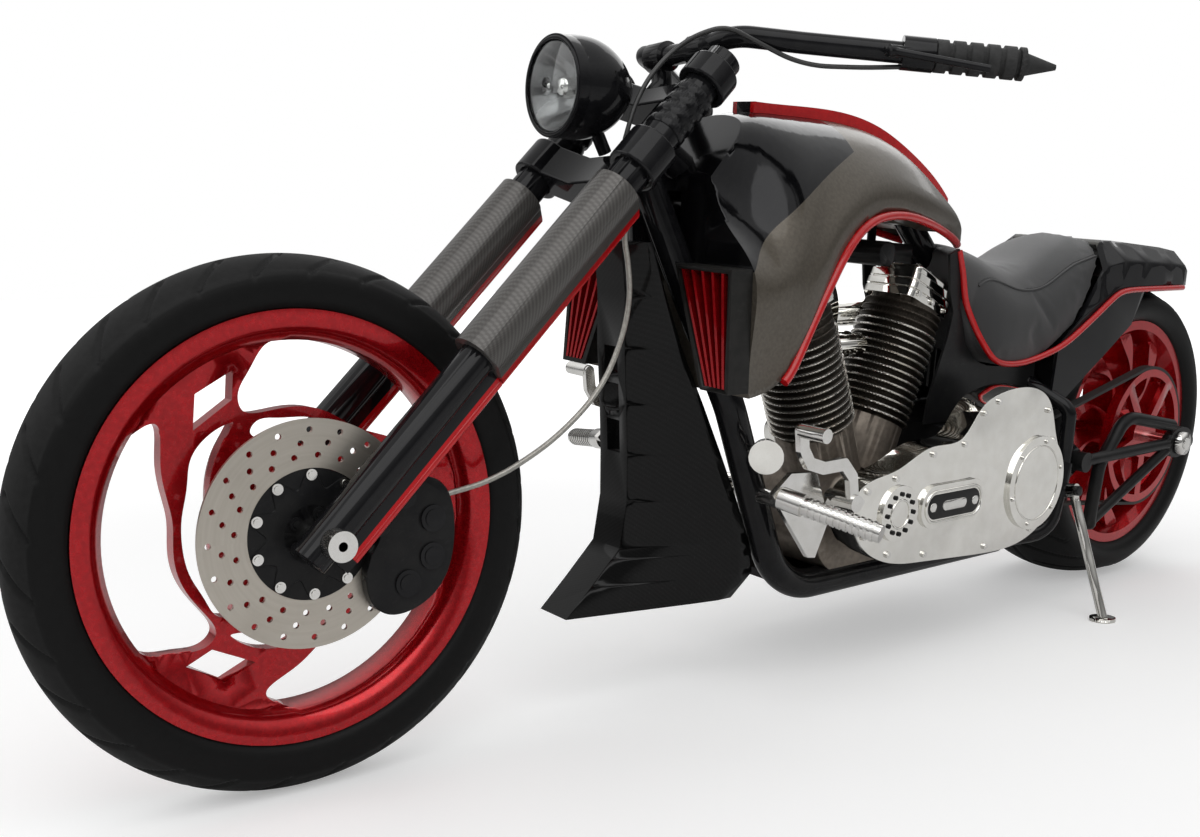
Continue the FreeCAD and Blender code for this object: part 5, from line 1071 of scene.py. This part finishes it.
# Brake hose from the fork crown to the caliper: radius and route along, beside and behind the fork's axis
hose = {"radius": 4.0, "route": [
    (128, -90, 88), (166, -90, 116), (206, -91, 144), (258, -92, 167), (330, -91, 189), (418, -90, 197),
    (489, -92, 176), (544, -96, 141), (576, -101, 99), (596, -105, 62), (630, -107, 43), (660, -108, 30)]}
hoseRun = tube("brakeHoseRun", [onFork(*place) for place in hose["route"]], hose["radius"] / 1000, "braid",
               "steering", 12, 4)
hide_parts("brake_hose")

# Primary cover: its outline in shares of its length and height, and what is screwed to its face
primary = {"x": 875.0, "z": 185.0, "length": 605.0, "height": 290.0, "face": -222.2, "raised": -228.2,
           "edge": [(0.0, 0.48), (0.03, 0.24), (0.15, 0.09), (0.32, 0.04), (0.62, 0.0), (0.86, 0.05),
                    (0.97, 0.22), (1.0, 0.46), (0.95, 0.68), (0.90, 0.90), (0.62, 1.0), (0.54, 0.93),
                    (0.46, 0.76), (0.32, 0.73), (0.16, 0.62), (0.04, 0.57)],
           "inset": 13.0, "clutch": (1392.0, 300.0), "boss": (988.0, 292.0), "oval": (1137.0, 292.0),
           "ovalHalf": (80.0, 27.0)}


def primaryScrews():
    outline = [Vector((primary["x"] + u * primary["length"], primary["z"] + v * primary["height"]))
               for u, v in primary["edge"]]
    places = []
    for index, place in enumerate(outline):
        along = (outline[(index + 1) % len(outline)] - outline[index - 1]).normalized()
        spot = place + Vector((-along.y, along.x)) * primary["inset"]
        places.append((onBike(spot.x, primary["face"], spot.y), outBike(0, -1, 0)))
    return places


def around(toRow, outward, centre, radius, count, level, turn=0.0):
    # Points and axes set evenly round a centre given as (x, z)
    angles = [2 * math.pi * index / count + turn for index in range(count)]
    return [(toRow(centre[0] + radius * math.cos(angle), level, centre[1] + radius * math.sin(angle)), outward)
            for angle in angles]


def ovalPoints(centre, half, level, steps, share=1.0):
    # Places round an oval with straight long sides, or a circle, facing sideways
    reach, made = max(half[0] - half[1], 0.0), []
    for index in range(steps):
        angle = 2 * math.pi * index / steps
        x = half[1] * math.cos(angle) + (reach if math.cos(angle) > 0 else -reach)
        made.append(onBike(centre[0] + x * share, level, centre[1] + half[1] * math.sin(angle) * share))
    return made


def ovalPlate(name, centre, half, level, thick, finish):
    # A blank plate with a softly domed face; rings are (share of the size, share of the thickness)
    rings, steps, points = ((1.0, 0.0), (0.985, 0.75), (0.94, 1.0), (0.5, 1.25)), 56, []
    for share, rise in rings:
        points += ovalPoints(centre, half, level - thick * rise, steps, share)
    faces = ringFaces(len(rings), steps)
    faces.append(tuple(range((len(rings) - 1) * steps, len(rings) * steps)))
    faces.append(tuple(reversed(range(steps))))
    piece = meshPiece(name, points, faces, finish, "frame")
    piece.data.set_sharp_from_angle(angle=math.radians(40))


def engineDetails():
    raised, oval, bikeLeft = primary["raised"], primary["oval"], outBike(0, -1, 0)
    half = primary["ovalHalf"]
    clutchRing = around(onBike, bikeLeft, primary["clutch"], 78.0, 6, raised, 0.3)
    bossRing = around(onBike, bikeLeft, primary["boss"], 34.0, 12, raised)
    studs("primaryScrews", primaryScrews(), "small", "polished", "frame")
    studs("clutchScrews", clutchRing, "notch", "polished", "frame")
    studs("bossNotches", bossRing, "notch", "satinBlack", "frame")
    for name, centre, size, radius in (("clutchLine", primary["clutch"], (70.0, 70.0), 0.0014),
                                       ("bossLine", primary["boss"], (24.0, 24.0), 0.0020),
                                       ("ovalLine", oval, half, 0.0026)):
        path = ovalPoints(centre, size, raised, 64)
        tube(name, path, radius, "chrome", "frame", sides=3, closed=True)
    ovalPlate("ovalInset", oval, (half[0] - 5, half[1] - 5), raised + 0.4, 0.8, "satinBlack")
    ovalPlate("ovalName", oval, (34.0, 9.0), raised, 2.2, "polished")
    for side, word in ((-1, "A"), (1, "B")):
        centre = (oval[0] + side * (half[0] - 20), oval[1])
        ovalPlate("ovalEnd" + word, centre, (9.0, 8.0), raised, 1.6, "polished")


def rockerDetails():
    # Nuts on the rocker boxes' tops and screws along both sides
    corners, sides, base = [], [], Vector(vee["base"])
    for lean in (-1, 1):
        angle = math.radians(vee["lean"]) * lean
        up = Vector((math.sin(angle), 0, math.cos(angle)))
        along = Vector((math.cos(angle), 0, -math.sin(angle)))
        for u in (-1, 0, 1):
            row = along * (vee["half"][0] * u)
            for v in (-1, 1):
                spot = base + up * vee["top"] + row * 0.8 + Vector((0, v * vee["half"][1] * 0.75, 0))
                corners.append((onBike(*spot), outBike(*up)))
            for v in (-1, 1):
                spot = base + up * (vee["foot"] + 10) + row + Vector((0, v * vee["sideFace"], 0))
                sides.append((onBike(*spot), outBike(0, v, 0)))
    studs("rockerNuts", corners, "large", "polished", "frame")
    studs("rockerScrews", sides, "small", "polished", "frame")


# What is fixed to the front wheel and caliper, round the axle; rings are (radius, lobe, share of thickness)
hub = {"bobbins": (76.0, 10, -83.9, math.pi / 10), "screws": (27.0, 5, -84.2),
       "pots": ((118, 40), (160, 6), (158, -44), (122, -76)), "potLevel": -101.2, "lobes": 10, "steps": 160,
       "level": -81.0, "thick": 3.0, "rings": ((22.0, 0.0, 0.0), (22.0, 0.0, 1.0), (48.0, 0.0, 1.0),
                                               (62.0, 6.0, 1.0), (70.0, 11.0, 0.9), (72.0, 11.0, 0.0))}


def wheelDetails():
    axle = (0, bike["frontAxleHeight"])
    bobbins = around(steered, forkLeft, axle, *hub["bobbins"])
    hubScrews = around(steered, forkLeft, axle, *hub["screws"])
    pots = [(onWheel("front", u, hub["potLevel"], v), forkLeft) for u, v in hub["pots"]]
    studs("frontBobbins", bobbins, "bobbin", "polished", "front_wheel")
    studs("frontHubScrews", hubScrews, "large", "satinBlack", "front_wheel")
    studs("caliperPots", pots, "pot", "glossBlack", "steering")


def carrierPlate():
    # A lobed black plate over the disc's carrier, with a hole in the middle
    steps, lobes, points = hub["steps"], hub["lobes"], []
    for radius, lobe, rise in hub["rings"]:
        for index in range(steps):
            angle = 2 * math.pi * index / steps
            reach = radius + lobe * math.cos(lobes * (angle - math.pi / lobes))
            points.append(onWheel("front", reach * math.cos(angle), hub["level"] - hub["thick"] * rise,
                                  reach * math.sin(angle)))
    piece = meshPiece("carrierPlate", points, ringFaces(len(hub["rings"]), steps, True), "satinBlack",
                      "front_wheel")
    piece.data.set_sharp_from_angle(angle=math.radians(35))


carrierPlate()

# Ribs of the foot pegs: each peg's root, which way it points, and the ribs' spacing
pegs = {"roots": ((-1, (732, -196, 342)), (1, (700, 196, 366))), "reach": (58, 162, -30), "from": 42.0,
        "pitch": 10.5, "ribs": 11}


def pegDetails():
    ribs, (ahead, out, up) = [], pegs["reach"]
    for side, root in pegs["roots"]:
        along = Vector((ahead, side * out, up)).normalized()
        for index in range(pegs["ribs"]):
            spot = Vector(root) + along * (pegs["from"] + index * pegs["pitch"])
            ribs.append((onBike(*spot), outBike(*along)))
    studs("pegRibs", ribs, "rib", "polished", "frame")


engineDetails()
rockerDetails()
wheelDetails()
pegDetails()
print("small parts set")

# Floor, lights and a white surround
stageLook = {"floorSize": 60.0, "floorTone": 0.80, "floorLift": 0.34, "farLift": 0.6, "liftFrom": 1.5,
             "liftTo": 5.5, "mirrored": 0.05, "worldFill": 0.40, "sideTone": 0.16, "aim": (950, 0, 450),
             "lights": [("keyLight", (-1.6, -2.2, 3.6), 4.0, 70.0), ("fillLight", (-3.4, 1.6, 2.4), 3.0, 30.0),
                        ("backLight", (2.6, 1.8, 3.0), 3.0, 38.0)]}


def makeFloor():
    half, tone = stageLook["floorSize"] / 2, stageLook["floorTone"]
    data = bpy.data.meshes.new("studioFloor")
    corners = [(-half, -half, 0), (half, -half, 0), (half, half, 0), (-half, half, 0)]
    data.from_pydata(corners, [], [(0, 1, 2, 3)])
    floor = addObject("studioFloor", data)
    material, tree, shader = startMaterial("studioFloor")
    coords = addNode(tree, "ShaderNodeTexCoord").outputs["Object"]
    cloud = noiseOf(coords, 0.6, 3.0)
    feed(shader["Base Color"], blendColour(cloud, (tone, tone, tone), (tone + 0.02,) * 3))
    shader["Roughness"].default_value = 0.9
    # The camera sees the floor paler with distance, so that it meets the white surround
    rays = addNode(tree, "ShaderNodeLightPath").outputs
    mirrored = calc("MAXIMUM", rays["Is Glossy Ray"], rays["Is Transmission Ray"])
    x, y, z = axesOf(coords)
    far = stepUp(lengthOf(x, y), stageLook["liftFrom"], stageLook["liftTo"])
    lift = plus(stageLook["floorLift"], times(far, stageLook["farLift"]))
    glow = plus(times(rays["Is Camera Ray"], lift), times(mirrored, stageLook["mirrored"]))
    shader["Emission Color"].default_value = (1.0, 1.0, 1.0, 1.0)
    feed(shader["Emission Strength"], glow)
    data.materials.append(material)


def makeLights():
    target = onBike(*stageLook["aim"])
    for name, place, size, power in stageLook["lights"]:
        data = bpy.data.lights.new(name, "AREA")
        data.size = size
        data.energy = power
        light = addObject(name, data)
        light.location = place
        light.rotation_mode = "QUATERNION"
        light.rotation_quaternion = (target - Vector(place)).to_track_quat("-Z", "Y")
    world = bpy.data.worlds.new("studio")
    bpy.context.scene.world = world
    world.use_nodes = True
    tree = world.node_tree
    background = tree.nodes["Background"]
    background.inputs["Color"].default_value = (1.0, 1.0, 1.0, 1.0)
    rays = addNode(tree, "ShaderNodeLightPath").outputs
    mirrored = calc("MAXIMUM", rays["Is Glossy Ray"], rays["Is Transmission Ray"])
    seen = calc("MAXIMUM", rays["Is Camera Ray"], mirrored)
    # Metal and glass see the white surround grow paler upwards, like soft boxes over a studio's walls
    height = axesOf(addNode(tree, "ShaderNodeTexCoord").outputs["Generated"])[2]
    graded = blendValue(stepUp(height, 0.05, 0.75), stageLook["sideTone"], 1.0)
    shown = blendValue(rays["Is Camera Ray"], graded, 1.0)
    feed(background.inputs["Strength"], blendValue(seen, stageLook["worldFill"], shown))


makeFloor()
makeLights()
print("stage set")
